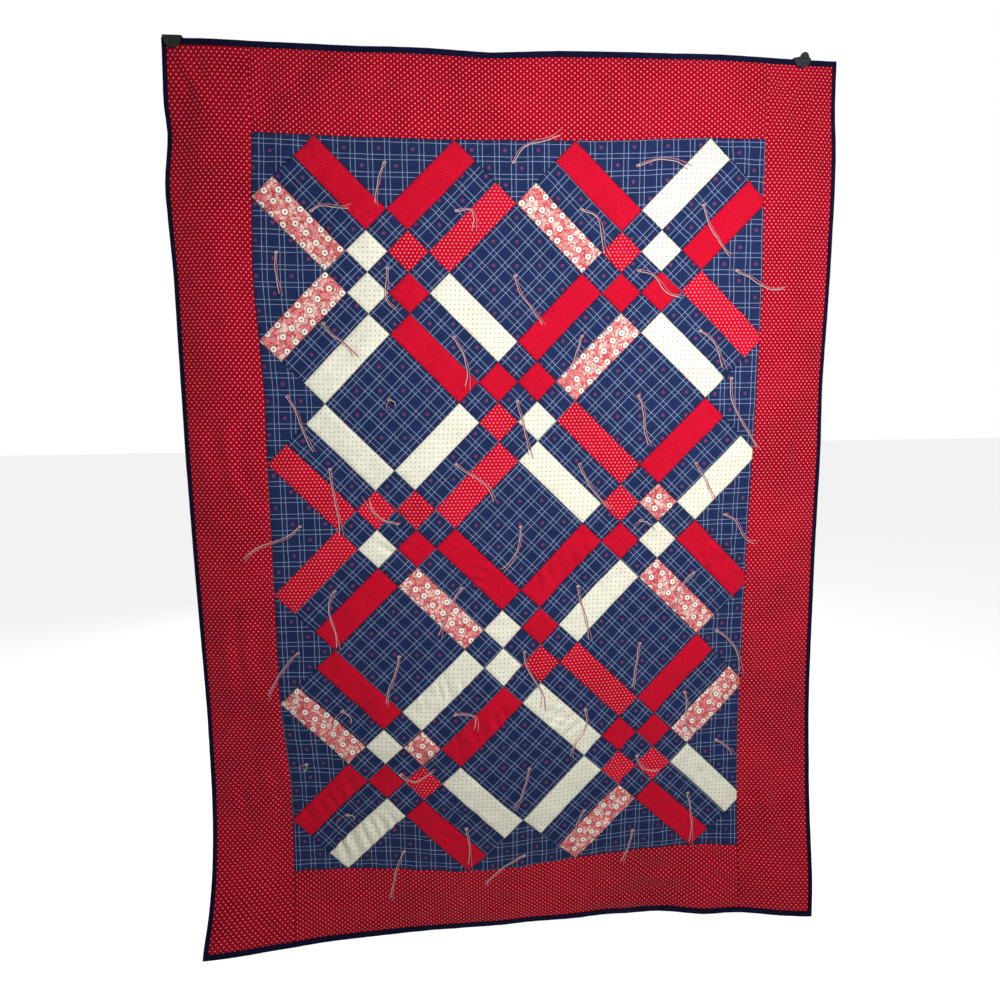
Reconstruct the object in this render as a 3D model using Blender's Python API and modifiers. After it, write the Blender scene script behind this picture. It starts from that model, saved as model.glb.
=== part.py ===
"""A tied patchwork quilt, hanging from two spring clips at its top corners.

Metres, +Z up. The front faces -Y. The origin is the middle of the top edge. A place on the quilt is
given flat, as it was cut: how far across from the middle, and how far down from the top edge.
"""

import math

import bmesh
import bpy
import numpy as np
from mathutils import Vector
from mathutils.bvhtree import BVHTree

MM = 0.001

# The pieced centre: a lattice of 4 by 6 squares, each with a tie at its corners and its middle
PITCH = 0.207
COLUMNS = 4
ROWS = 6
RIGHT_TRIM = 0.010  # the last column lost this much to the seam
STEPS_A_PITCH = 6

# The frame of the quilt
BORDER_WIDTH = 0.112
BORDER_STEPS = 3
BINDING_WIDTH = 0.011
SEAM_GAP = 0.0003  # between two sewn pieces

# Thickness of the filled cloth
LOFT = 0.0085
SEAM_THICKNESS = 0.0034
TIE_THICKNESS = 0.0028
TIE_REACH = 0.045  # how far a tie draws the filling down
BINDING_THICKNESS = 0.0056

# Lines of the flat quilt
LEFT_SEAM = -0.5 * COLUMNS * PITCH
RIGHT_SEAM = 0.5 * COLUMNS * PITCH - RIGHT_TRIM
LEFT_FOLD = LEFT_SEAM - BORDER_WIDTH
RIGHT_FOLD = RIGHT_SEAM + BORDER_WIDTH
LEFT_EDGE = LEFT_FOLD - BINDING_WIDTH
RIGHT_EDGE = RIGHT_FOLD + BINDING_WIDTH
TOP_FOLD = BINDING_WIDTH
TOP_SEAM = TOP_FOLD + BORDER_WIDTH
BOTTOM_SEAM = TOP_SEAM + ROWS * PITCH
BOTTOM_FOLD = BOTTOM_SEAM + BORDER_WIDTH
BOTTOM_EDGE = BOTTOM_FOLD + BINDING_WIDTH

# How far the hung cloth strays to the right of its flat place, by depth, in mm
SIDE_COLUMNS = ("down", "left_edge", "left_seam", "right_seam", "right_edge")
SIDE_SHIFTS = (
    (0.000, 0, 6, 7, 2),
    (0.090, -4, 6, 7, 4),
    (0.126, 1, 5, 7, 8),
    (0.200, -9, 1, 6, 9),
    (0.340, -3, -4, 7, 6),
    (0.520, -4, 4, 4, 0),
    (0.620, -5, 2, 1, 2),
    (0.800, -4, 1, -4, 0),
    (1.050, 0, 0, -8, 1),
    (1.200, -1, 11, -9, 3),
    (1.366, -3, 10, -8, -1),
    (1.420, -6, 9, -7, -2),
    (1.490, -16, 8, -6, -5),
)

# How far it strays upward, by place across, in mm
LEVEL_COLUMNS = ("across", "top_edge", "top_seam", "bottom_seam", "bottom_edge")
LEVEL_SHIFTS = (
    (-0.537, 18, 5, 20, 24),
    (-0.410, 12, 4, 18, 10),
    (-0.250, 3, -5, 9, 3),
    (-0.130, 2, -7, -4, 0),
    (-0.040, -2, -6, -7, -1),
    (0.070, 4, -4, 3, 8),
    (0.160, 5, -3, 8, 5),
    (0.250, 5, 1, 10, -6),
    (0.330, 7, 4, 14, 1),
    (0.410, 7, 6, 14, 9),
    (0.527, 7, 6, 14, 16),
)
SOFTEN = 0.018  # a table is read this far to each side, which rounds its corners
SEAM_FADE = 3  # a seam's stray dies out toward the middle with this power

# Soft forms of the hanging cloth: middle, reach and how far it comes forward, in metres
FORM_COLUMNS = ("across", "down", "reach_across", "reach_down", "forward")
FORMS = (
    (-0.560, 1.520, 0.150, 0.170, 0.070),  # lower left corner curls forward
    (0.550, 1.520, 0.160, 0.240, 0.064),  # lower right corner curls forward
    (-0.330, 1.510, 0.130, 0.100, 0.014),  # its curl runs on along the hem
    (-0.050, 1.120, 0.280, 0.280, 0.030),  # belly of the lower half
    (-0.540, 0.000, 0.200, 0.300, -0.024),  # drawn back to the left clip
    (0.530, 0.000, 0.200, 0.300, -0.016),  # drawn back to the right clip
    (-0.555, 0.640, 0.045, 0.420, -0.007),  # left edge turns back
    (0.545, 0.420, 0.045, 0.300, -0.006),  # right edge turns back
    (-0.465, 0.300, 0.050, 0.330, 0.008),  # upright fold in the left border
    (-0.190, 0.420, 0.085, 0.360, 0.006),  # upright swells of the centre
    (0.100, 0.560, 0.080, 0.420, -0.006),
    (0.300, 0.500, 0.085, 0.420, 0.006),
    (0.250, 1.475, 0.045, 0.070, -0.010),  # waves of the hem, right of the middle
    (0.345, 1.470, 0.045, 0.070, 0.008),
    (0.080, 1.480, 0.060, 0.060, 0.008),
)

# Ties. The knot is given from its lattice point, the tail's end from the knot, in mm. The tail bows
# to the right of a hanging tail, or above a sideways one, and its wave turns from that side to the other.
TIE_COLUMNS = ("column", "row", "knot_right", "knot_down", "tail_right", "tail_down", "bow", "wave")
TIES = (
    (1.0, 0.0, 0, 38, -15, 67, -3, 0),
    (2.0, 0.0, -5, 34, 78, -46, 9, 4),
    (3.0, 0.0, -12, 40, 86, 5, 11, 0),
    (0.5, 0.5, -12, 10, 63, -8, 5, 3),
    (1.5, 0.5, 7, 5, 28, 32, 19, 2),
    (2.5, 0.5, 2, 3, 42, 73, 14, 5),
    (3.5, 0.5, -8, 0, 46, 80, -6, 0),
    (0.0, 1.0, 36, -29, 6, 67, -3, 0),
    (1.0, 1.0, 0, -9, 14, 67, -10, 4),
    (2.0, 1.0, -4, 2, 47, 79, -5, -2),
    (3.0, 1.0, -8, -4, 75, 46, 0, 6),
    (4.0, 1.0, -54, -1, 86, 30, -7, 3),
    (0.5, 1.5, -1, -25, 52, 54, 0, -2),
    (1.5, 1.5, -2, -5, 23, 88, 9, 0),
    (2.5, 1.5, 3, -4, -32, 80, 3, 0),
    (3.5, 1.5, -9, -8, 46, 66, 8, 2),
    (0.0, 2.0, 37, -12, 42, 90, 0, 2),
    (2.0, 2.0, -2, -3, 22, 96, 1, 0),
    (3.0, 2.0, -5, -8, 22, 88, 0, 3),
    (4.0, 2.0, -56, -33, 56, 122, -12, -3),
    (0.5, 2.5, -2, 2, 15, 114, 0, -1),
    (1.5, 2.5, -2, -4, 64, 66, 9, -3),
    (2.5, 2.5, 0, 2, 55, 80, -6, 0),
    (3.5, 2.5, -8, 5, 38, 68, 1, 0),
    (0.0, 3.0, 48, -6, -92, 57, -1, 5),
    (1.0, 3.0, 2, -9, -52, -48, 13, 0),
    (2.0, 3.0, 1, 1, -34, 75, 11, 0),
    (4.0, 3.0, -55, -7, 61, 53, 0, 5),
    (0.5, 3.5, -3, 2, 4, 103, -9, -4),
    (1.5, 3.5, 2, -1, -38, 83, -4, 0),
    (2.5, 3.5, -4, 6, 21, 98, 0, -1),
    (3.5, 3.5, -5, -10, -31, 72, -9, 0),
    (0.0, 4.0, 35, 6, -56, 84, -5, 0),
    (1.0, 4.0, -2, 12, -24, 88, 0, 2),
    (2.0, 4.0, 4, 9, 32, 108, 2, -5),
    (3.0, 4.0, 2, 10, -13, 85, 0, 0),
    (4.0, 4.0, -61, -4, 53, 84, 14, 0),
    (1.5, 4.5, -13, 9, 36, 31, 18, -2),
    (2.5, 4.5, 7, 19, -26, 88, 5, 6),
    (3.5, 4.5, -15, 4, 16, 80, -5, 5),
    (1.0, 5.0, -7, 18, 62, -12, -14, -4),
    (2.0, 5.0, 10, 11, -27, 78, 4, 0),
    (3.0, 5.0, 0, 14, 45, 34, -12, 0),
    (4.0, 5.0, -54, -2, 37, 31, 3, 0),
    (1.5, 5.5, 2, 16, 5, 78, 3, 0),
    (2.5, 5.5, 6, 6, -18, 60, -3, 0),
    (3.5, 5.5, -3, -3, 8, 108, 4, 0),
    (1.0, 6.0, -7, -38, -27, 96, -3, 0),
    (2.0, 6.0, 1, -24, -72, 54, -6, 0),
    (3.0, 6.0, -5, -43, -20, 64, 3, 0),
)
# Two ties whose ends fall to both sides of the knot, like an arch
ARCHED_COLUMNS = (
    "column",
    "row",
    "knot_right",
    "knot_down",
    "left_right",
    "left_down",
    "right_right",
    "right_down",
)
ARCHED_TIES = (
    (3.0, 3.0, 2, -2, -13, 17, 31, 19),
    (0.5, 4.5, 2, 6, -20, 28, 18, 24),
)
TIE_RADIUS = 0.0014
KNOT_RADIUS = 0.0024
TIE_CLEARANCE = 0.0003
TIE_STEPS = 7
ARCH_STEPS = 4
ARCH_BOW = 0.0045  # each half of an arch bulges upward this much
ALONG = (0.0, 0.2, 0.4, 0.6, 0.8, 1.0)  # shares of the way to the next point where the cloth is felt for
AROUND = 8  # directions in which it is felt for there

# Spring clips: half-round jaws over the top edge, the right one with its lever standing up
CLIP_COLUMNS = ("name", "middle", "lever_height", "drop")
CLIPS = (
    ("clip_left", -0.520, 0.0, 0.017),
    ("clip_right", 0.468, 0.010, 0.014),
)
CLIP_WIDTH = 0.028
JAW_THICKNESS = 0.0025
BRIDGE_THICKNESS = 0.0015
SHOULDER_DROP = 0.003  # the bridge slopes down this far to the outside of each jaw
LEVER_WIDTH = 0.014
LEVER_RIGHT = 0.006  # the lever's middle stands this far right of the jaws' middle
LEVER_THICKNESS = 0.003
CLIP_GAP = 0.0004
ARC_STEPS = 12
FEEL_ACROSS = 9  # places across a clip where the cloth is felt for
FEEL_DOWN = 8
FEEL_DEPTHS = 51
TOP_EDGE_REACH = (-0.010, 0.040)  # the top edge lies between these y
TOP_ROUNDING = 0.001
OUTSIDE = 1.0  # a place well outside the quilt

# Colour, roughness and metallic value of each material
MATERIALS = {
    "patchwork": ((0.030, 0.045, 0.160), 0.85, 0.0),
    "border_cotton": ((0.520, 0.006, 0.025), 0.85, 0.0),
    "binding_cotton": ((0.010, 0.014, 0.060), 0.85, 0.0),
    "tie_yarn": ((0.700, 0.430, 0.420), 0.90, 0.0),
    "clip_plastic": ((0.050, 0.060, 0.055), 0.45, 0.0),
}


def table_value(table, names, wanted, at):
    """One column of a table at a place, read between its rows and softened."""
    places = [row[0] for row in table]
    values = [row[names.index(wanted)] for row in table]
    near = np.interp(at - SOFTEN, places, values) + np.interp(at + SOFTEN, places, values)
    return 0.25 * near + 0.5 * np.interp(at, places, values)


def blend(at, start, end, first, second):
    """The first value at start, the second at end, and straight between."""
    share = np.clip((at - start) / (end - start), 0.0, 1.0)
    return first + (second - first) * share


def side_shift(across, down):
    """How far right of its flat place the cloth hangs."""
    stray = {name: table_value(SIDE_SHIFTS, SIDE_COLUMNS, name, down) for name in SIDE_COLUMNS[1:]}
    left = stray["left_seam"] * np.clip(across / LEFT_SEAM, 0.0, 1.0) ** SEAM_FADE
    right = stray["right_seam"] * np.clip(across / RIGHT_SEAM, 0.0, 1.0) ** SEAM_FADE
    outer_left = blend(across, LEFT_SEAM, LEFT_EDGE, stray["left_seam"], stray["left_edge"])
    outer_right = blend(across, RIGHT_SEAM, RIGHT_EDGE, stray["right_seam"], stray["right_edge"])
    inner = np.where(across < 0.0, left, right)
    inner = np.where(across < LEFT_SEAM, outer_left, inner)
    return MM * np.where(across > RIGHT_SEAM, outer_right, inner)


def level_shift(across, down):
    """How far above its flat place the cloth hangs."""
    stray = {name: table_value(LEVEL_SHIFTS, LEVEL_COLUMNS, name, across) for name in LEVEL_COLUMNS[1:]}
    share = np.clip((down - TOP_SEAM) / (BOTTOM_SEAM - TOP_SEAM), 0.0, 1.0)
    inner = stray["top_seam"] * (1.0 - share) ** SEAM_FADE + stray["bottom_seam"] * share**SEAM_FADE
    above = blend(down, TOP_SEAM, 0.0, stray["top_seam"], stray["top_edge"])
    below = blend(down, BOTTOM_SEAM, BOTTOM_EDGE, stray["bottom_seam"], stray["bottom_edge"])
    inner = np.where(down < TOP_SEAM, above, inner)
    return MM * np.where(down > BOTTOM_SEAM, below, inner)


def forward(across, down):
    """How far the soft forms bring the cloth toward the front."""
    total = np.zeros_like(across)
    for row in FORMS:
        form = dict(zip(FORM_COLUMNS, row))
        away_across = (across - form["across"]) / form["reach_across"]
        away_down = (down - form["down"]) / form["reach_down"]
        total = total + form["forward"] * np.exp(-(away_across**2 + away_down**2))
    return total


def hang(across, down):
    """World places of flat points, as an array of x, y, z."""
    across = np.asarray(across, dtype=float)
    down = np.asarray(down, dtype=float)
    x = across + side_shift(across, down)
    z = level_shift(across, down) - down
    return np.stack([x, -forward(across, down), z], axis=-1)


def lattice_point(column, row):
    """Flat place of a lattice point of the pieced centre."""
    return (column - 0.5 * COLUMNS) * PITCH, TOP_SEAM + row * PITCH


def knot_place(tie):
    """Flat place of one tie's knot."""
    across, down = lattice_point(tie["column"], tie["row"])
    return across + tie["knot_right"] * MM, down + tie["knot_down"] * MM


def tie_places():
    """Flat places of all the knots."""
    rows = [dict(zip(TIE_COLUMNS, row)) for row in TIES]
    rows += [dict(zip(ARCHED_COLUMNS, row)) for row in ARCHED_TIES]
    return np.array([knot_place(row) for row in rows])


def centre_thickness(across, down):
    """Thin at the ties and toward the seams, lofty between."""
    knots = tie_places()
    away = np.hypot(across[:, None] - knots[:, 0], down[:, None] - knots[:, 1]).min(axis=1)
    edge = np.minimum.reduce([across - LEFT_SEAM, RIGHT_SEAM - across, down - TOP_SEAM, BOTTOM_SEAM - down])
    by_tie = TIE_THICKNESS + (LOFT - TIE_THICKNESS) * (1.0 - np.exp(-((away / TIE_REACH) ** 2)))
    by_seam = blend(edge, 0.0, TIE_REACH, SEAM_THICKNESS, LOFT)
    return np.minimum(by_tie, by_seam)


def border_thickness(across, down):
    """A long pad: thin at the seam and at the binding, lofty along its middle."""
    sides = [LEFT_SEAM - across, across - RIGHT_SEAM, TOP_SEAM - down, down - BOTTOM_SEAM]
    beyond = np.maximum.reduce(sides)
    swell = np.sin(math.pi * np.clip(beyond / BORDER_WIDTH, 0.0, 1.0))
    return SEAM_THICKNESS + (LOFT - SEAM_THICKNESS) * swell


def binding_thickness(across, down):
    """A folded strip, thickest along its middle."""
    sides = [LEFT_FOLD - across, across - RIGHT_FOLD, TOP_FOLD - down, down - BOTTOM_FOLD]
    beyond = np.maximum.reduce(sides)
    swell = np.sin(math.pi * np.clip(beyond / BINDING_WIDTH, 0.0, 1.0))
    return SEAM_THICKNESS + (BINDING_THICKNESS - SEAM_THICKNESS) * swell


def steps_between(start, end, count):
    """Evenly spaced lines from start to end, both included."""
    return list(np.linspace(start, end, count + 1))


def centre_columns():
    """Lines down the pieced centre, on the lattice and between it."""
    lines = steps_between(LEFT_SEAM, -LEFT_SEAM, COLUMNS * STEPS_A_PITCH)
    return lines[:-1] + [RIGHT_SEAM]


def centre_rows():
    """Lines across the pieced centre."""
    return steps_between(TOP_SEAM, BOTTOM_SEAM, ROWS * STEPS_A_PITCH)


def inset(lines):
    """The same lines, with the outer two drawn in by half the seam gap."""
    return [lines[0] + 0.5 * SEAM_GAP] + lines[1:-1] + [lines[-1] - 0.5 * SEAM_GAP]


def make_material(name):
    """A Principled material from the table above."""
    colour, roughness, metallic = MATERIALS[name]
    material = bpy.data.materials.new(name)
    material.use_nodes = True
    shader = material.node_tree.nodes["Principled BSDF"]
    shader.inputs["Base Color"].default_value = (*colour, 1.0)
    shader.inputs["Roughness"].default_value = roughness
    shader.inputs["Metallic"].default_value = metallic
    return material


def add_sheet(name, columns, rows, thickness, material, hollow=None):
    """A grid of cloth on the given flat lines, hung, and given its own thickness at each point."""
    mesh = bpy.data.meshes.new(name)
    shape = bmesh.new()
    bmesh.ops.create_grid(shape, x_segments=len(columns) - 1, y_segments=len(rows) - 1, size=0.5)
    flat = {}
    for vert in shape.verts:
        column = round((vert.co.x + 0.5) * (len(columns) - 1))
        row = round((0.5 - vert.co.y) * (len(rows) - 1))
        flat[vert] = (columns[column], rows[row])
    if hollow is not None:
        left, right, top, bottom = hollow
        inside = [
            face
            for face in shape.faces
            if all(left <= flat[v][0] <= right and top <= flat[v][1] <= bottom for v in face.verts)
        ]
        bmesh.ops.delete(shape, geom=inside, context="FACES")
    shape.verts.index_update()
    across = np.array([flat[vert][0] for vert in shape.verts])
    down = np.array([flat[vert][1] for vert in shape.verts])
    for vert, place in zip(shape.verts, hang(across, down)):
        vert.co = place
    for face in shape.faces:
        face.smooth = True
    bmesh.ops.recalc_face_normals(shape, faces=shape.faces)
    if shape.faces[0].normal.y > 0.0:
        bmesh.ops.reverse_faces(shape, faces=shape.faces)
    shape.to_mesh(mesh)
    shape.free()
    sheet = bpy.data.objects.new(name, mesh)
    parts.objects.link(sheet)
    mesh.materials.append(material)
    depth = thickness(across, down)
    loft = sheet.vertex_groups.new(name="loft")
    for index, value in enumerate(depth / depth.max()):
        loft.add([index], float(value), "REPLACE")
    solid = sheet.modifiers.new("Thickness", "SOLIDIFY")
    solid.thickness = float(depth.max())
    solid.offset = 0.0
    solid.vertex_group = "loft"
    solid.thickness_vertex_group = 0.0
    sheet.modifiers.new("Fixed folds", "TRIANGULATE")
    return sheet


def tree_of(sheets):
    """One search tree over the finished surfaces of some sheets."""
    points = []
    faces = []
    graph = bpy.context.evaluated_depsgraph_get()
    for sheet in sheets:
        mesh = sheet.evaluated_get(graph).to_mesh()
        first = len(points)
        points += [vert.co.copy() for vert in mesh.vertices]
        faces += [[first + index for index in face.vertices] for face in mesh.polygons]
    return BVHTree.FromPolygons(points, faces)


def front_at(tree, x, z, radius):
    """The y of the frontmost cloth within a radius of a place."""
    fronts = []
    for step in range(AROUND + 1):
        reach = radius if step else 0.0
        angle = 2.0 * math.pi * step / AROUND
        start = Vector((x + reach * math.cos(angle), -OUTSIDE, z + reach * math.sin(angle)))
        hit = tree.ray_cast(start, Vector((0.0, 1.0, 0.0)))[0]
        if hit is not None:
            fronts.append(hit.y)
    return min(fronts)


def lay_on_front(tree, flat_points, knot_index):
    """World points of a tail that lies on the front, clear of it by its radius and a little more."""
    flat = np.array(flat_points)
    points = hang(flat[:, 0], flat[:, 1])
    radii = [KNOT_RADIUS if index == knot_index else TIE_RADIUS for index in range(len(points))]
    for index, radius in enumerate(radii):
        x, _, z = points[index]
        points[index, 1] = front_at(tree, x, z, radius) - radius - TIE_CLEARANCE
    for index in range(len(points) - 1):
        for share in ALONG:
            x, y, z = points[index] + (points[index + 1] - points[index]) * share
            radius = radii[index] + (radii[index + 1] - radii[index]) * share
            short = y - front_at(tree, x, z, radius) + radius + TIE_CLEARANCE
            if short > 0.0:
                points[index, 1] -= short * (1.0 - share)
                points[index + 1, 1] -= short * max(share, 0.5)
    return points


def tail_points(start, reach, bow, wave, steps):
    """Flat points of a tail from its knot to its end."""
    length = math.hypot(*reach)
    sideways = (reach[1] / length, -reach[0] / length)
    points = []
    for step in range(steps + 1):
        share = step / steps
        stray = bow * 4.0 * share * (1.0 - share) + wave * math.sin(2.0 * math.pi * share)
        points.append(
            (
                start[0] + reach[0] * share + sideways[0] * stray,
                start[1] + reach[1] * share + sideways[1] * stray,
            )
        )
    return points


def add_tie(name, points, knot_index, material):
    """A four-sided tube through the points, fat at the knot and tapered at its ends."""
    curve = bpy.data.curves.new(name, "CURVE")
    curve.dimensions = "3D"
    curve.bevel_depth = TIE_RADIUS
    curve.bevel_resolution = 0
    curve.use_fill_caps = True
    line = curve.splines.new("POLY")
    line.points.add(len(points) - 1)
    for index, place in enumerate(points):
        line.points[index].co = (*place, 1.0)
        line.points[index].radius = KNOT_RADIUS / TIE_RADIUS if index == knot_index else 1.0
    curve.materials.append(material)
    tie = bpy.data.objects.new(name, curve)
    parts.objects.link(tie)
    return tie


def tie_name(tie):
    """Names count in half squares, so that the ties in the middles have whole numbers too."""
    return f"tie_c{round(2 * tie['column']):02d}_r{round(2 * tie['row']):02d}"


def add_ties(tree, material):
    """Every tie, laid on the front of the quilt."""
    for row in TIES:
        tie = dict(zip(TIE_COLUMNS, row))
        reach = (tie["tail_right"] * MM, tie["tail_down"] * MM)
        flat = tail_points(knot_place(tie), reach, tie["bow"] * MM, tie["wave"] * MM, TIE_STEPS)
        add_tie(tie_name(tie), lay_on_front(tree, flat, 0), 0, material)
    for row in ARCHED_TIES:
        tie = dict(zip(ARCHED_COLUMNS, row))
        left = (tie["left_right"] * MM, tie["left_down"] * MM)
        right = (tie["right_right"] * MM, tie["right_down"] * MM)
        one = tail_points(knot_place(tie), left, -ARCH_BOW, 0.0, ARCH_STEPS)
        other = tail_points(knot_place(tie), right, ARCH_BOW, 0.0, ARCH_STEPS)
        points = lay_on_front(tree, one[::-1] + other[1:], ARCH_STEPS)
        add_tie(tie_name(tie), points, ARCH_STEPS, material)


def add_slab(name, outline, thickness, collection):
    """A flat outline in the curve's own XY plane, given a thickness, as a closed mesh."""
    curve = bpy.data.curves.new(name, "CURVE")
    curve.dimensions = "2D"
    curve.fill_mode = "BOTH"
    curve.extrude = 0.5 * thickness
    line = curve.splines.new("POLY")
    line.use_cyclic_u = True
    line.points.add(len(outline) - 1)
    for point, (x, y) in zip(line.points, outline):
        point.co = (x, y, 0.0, 1.0)
    drawn = bpy.data.objects.new(name + "_outline", curve)
    collection.objects.link(drawn)
    graph = bpy.context.evaluated_depsgraph_get()
    mesh = bpy.data.meshes.new_from_object(drawn.evaluated_get(graph))
    bpy.data.objects.remove(drawn)
    shape = bmesh.new()
    shape.from_mesh(mesh)
    bmesh.ops.remove_doubles(shape, verts=shape.verts, dist=0.00001)
    bmesh.ops.recalc_face_normals(shape, faces=shape.faces)
    shape.to_mesh(mesh)
    shape.free()
    mesh.name = name
    slab = bpy.data.objects.new(name, mesh)
    collection.objects.link(slab)
    return slab


def cloth_at_clip(tree, middle, drop):
    """Front, back and top of the cloth inside a clip's width, down to the ends of its jaws."""
    fronts = []
    backs = []
    tops = []
    places = np.linspace(middle - 0.5 * CLIP_WIDTH, middle + 0.5 * CLIP_WIDTH, FEEL_ACROSS)
    for x in places:
        for y in np.linspace(*TOP_EDGE_REACH, FEEL_DEPTHS):
            hit = tree.ray_cast(Vector((x, y, OUTSIDE)), Vector((0.0, 0.0, -1.0)))[0]
            if hit is not None:
                tops.append(hit.z)
    top = max(tops)
    for x in places:
        for z in np.linspace(top - drop, top - TOP_ROUNDING, FEEL_DOWN):
            front = tree.ray_cast(Vector((x, -OUTSIDE, z)), Vector((0.0, 1.0, 0.0)))[0]
            back = tree.ray_cast(Vector((x, OUTSIDE, z)), Vector((0.0, -1.0, 0.0)))[0]
            if front is not None:
                fronts.append(front.y)
                backs.append(back.y)
    return min(fronts), max(backs), top


def add_clip(row, tree, material):
    """A U over the top edge, its jaws rounded from the front, with or without a standing lever."""
    details = dict(zip(CLIP_COLUMNS, row))
    name = details["name"]
    middle = details["middle"]
    lever = details["lever_height"]
    drop = details["drop"]
    front, back, top = cloth_at_clip(tree, middle, drop)
    half_slot = 0.5 * (back - front) + CLIP_GAP
    outer = half_slot + JAW_THICKNESS
    roof = CLIP_GAP + BRIDGE_THICKNESS
    shoulder = roof - SHOULDER_DROP
    side = [(-outer, -drop), (-half_slot, -drop), (-half_slot, CLIP_GAP), (half_slot, CLIP_GAP)]
    side += [(half_slot, -drop), (outer, -drop), (outer, shoulder), (half_slot, roof)]
    if lever:
        stem = 0.5 * LEVER_THICKNESS
        side += [(stem, roof), (stem, roof + lever), (-stem, roof + lever), (-stem, roof)]
    side += [(-half_slot, roof), (-outer, shoulder)]
    clip = add_slab(name, side, CLIP_WIDTH, parts)
    half = 0.5 * CLIP_WIDTH
    face = [(-half, roof), (-half, 0.0)]
    for step in range(1, ARC_STEPS):
        angle = math.pi * (1.0 + step / ARC_STEPS)
        face.append((half * math.cos(angle), drop * math.sin(angle)))
    face += [(half, 0.0), (half, roof)]
    if lever:
        stem = 0.5 * LEVER_WIDTH
        lever_middle = roof + lever - stem
        for step in range(ARC_STEPS + 1):
            angle = math.pi * step / ARC_STEPS
            face.append((LEVER_RIGHT + stem * math.cos(angle), lever_middle + stem * math.sin(angle)))
    cutter = add_slab(name + "_face", face, 4.0 * outer, cutters)
    # The side outline's x runs along -Y of the quilt, and the face outline's x along +X
    clip.rotation_euler = (math.radians(90.0), 0.0, math.radians(90.0))
    cutter.rotation_euler = (math.radians(90.0), 0.0, 0.0)
    place = (middle, 0.5 * (front + back), top)
    clip.location = place
    cutter.location = place
    cutter.hide_render = True
    cutter.display_type = "WIRE"
    rounding = clip.modifiers.new("Round the jaws", "BOOLEAN")
    rounding.operation = "INTERSECT"
    rounding.solver = "EXACT"
    rounding.object = cutter
    clip.data.materials.append(material)
    return clip


def build():
    """The pieced centre, its borders and binding, then the clips and the ties."""
    materials = {name: make_material(name) for name in MATERIALS}
    left_lines = steps_between(LEFT_FOLD, LEFT_SEAM, BORDER_STEPS)
    right_lines = steps_between(RIGHT_SEAM, RIGHT_FOLD, BORDER_STEPS)
    top_lines = steps_between(TOP_FOLD, TOP_SEAM, BORDER_STEPS)
    bottom_lines = steps_between(BOTTOM_SEAM, BOTTOM_FOLD, BORDER_STEPS)
    all_columns = left_lines[:-1] + centre_columns() + right_lines[1:]
    all_rows = top_lines[:-1] + centre_rows() + bottom_lines[1:]
    red = materials["border_cotton"]
    navy = materials["patchwork"]
    columns = inset(centre_columns())
    rows = inset(centre_rows())
    sheets = [add_sheet("pieced_centre", columns, rows, centre_thickness, navy)]
    # The side strips run the whole height, and the top and bottom strips lie between them
    strips = (
        ("border_left", left_lines, all_rows),
        ("border_right", right_lines, all_rows),
        ("border_top", centre_columns(), top_lines),
        ("border_bottom", centre_columns(), bottom_lines),
    )
    for name, across, down in strips:
        sheets.append(add_sheet(name, inset(across), inset(down), border_thickness, red))
    half = 0.5 * SEAM_GAP
    middle = 0.5 * BINDING_WIDTH
    ring_columns = [LEFT_EDGE, LEFT_EDGE + middle, LEFT_FOLD - half] + all_columns[1:-1]
    ring_columns += [RIGHT_FOLD + half, RIGHT_EDGE - middle, RIGHT_EDGE]
    ring_rows = [0.0, middle, TOP_FOLD - half] + all_rows[1:-1]
    ring_rows += [BOTTOM_FOLD + half, BOTTOM_EDGE - middle, BOTTOM_EDGE]
    hollow = (LEFT_FOLD - half, RIGHT_FOLD + half, TOP_FOLD - half, BOTTOM_FOLD + half)
    binding = add_sheet(
        "binding", ring_columns, ring_rows, binding_thickness, materials["binding_cotton"], hollow
    )
    sheets.append(binding)
    bpy.context.view_layer.update()
    tree = tree_of(sheets)
    for row in CLIPS:
        add_clip(row, tree, materials["clip_plastic"])
    add_ties(tree, materials["tie_yarn"])


for old in list(bpy.data.objects):
    bpy.data.objects.remove(old)
parts = bpy.data.collections.new("quilt")
bpy.context.scene.collection.children.link(parts)
cutters = bpy.data.collections.new("cutters")
bpy.context.scene.collection.children.link(cutters)
build()
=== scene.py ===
"""Looks of the tied patchwork quilt: fabrics, patches, ties, binding and backing on the CAD's own hang."""

import math

import bpy
import numpy as np
from mathutils import Matrix, Vector


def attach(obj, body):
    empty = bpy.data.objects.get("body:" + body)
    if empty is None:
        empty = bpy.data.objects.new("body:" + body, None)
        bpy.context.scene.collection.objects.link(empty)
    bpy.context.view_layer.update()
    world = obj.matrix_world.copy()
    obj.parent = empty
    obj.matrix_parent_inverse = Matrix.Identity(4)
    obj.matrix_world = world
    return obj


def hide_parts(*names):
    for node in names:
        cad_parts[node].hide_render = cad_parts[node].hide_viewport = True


MM = 0.001

# The pieced centre: a lattice of 4 by 6 squares, with a tie in the middle of each and at each lattice
# point but the four outer corners
PITCH = 0.207
COLUMNS = 4
ROWS = 6
RIGHT_TRIM = 0.010  # the last column lost this much to the seam

# The frame of the quilt
BORDER_WIDTH = 0.112
BINDING_WIDTH = 0.011

# Thickness of the filled cloth
LOFT = 0.0085
SEAM_THICKNESS = 0.0034
TIE_THICKNESS = 0.0028
TIE_REACH = 0.045  # how far a tie draws the filling down

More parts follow.
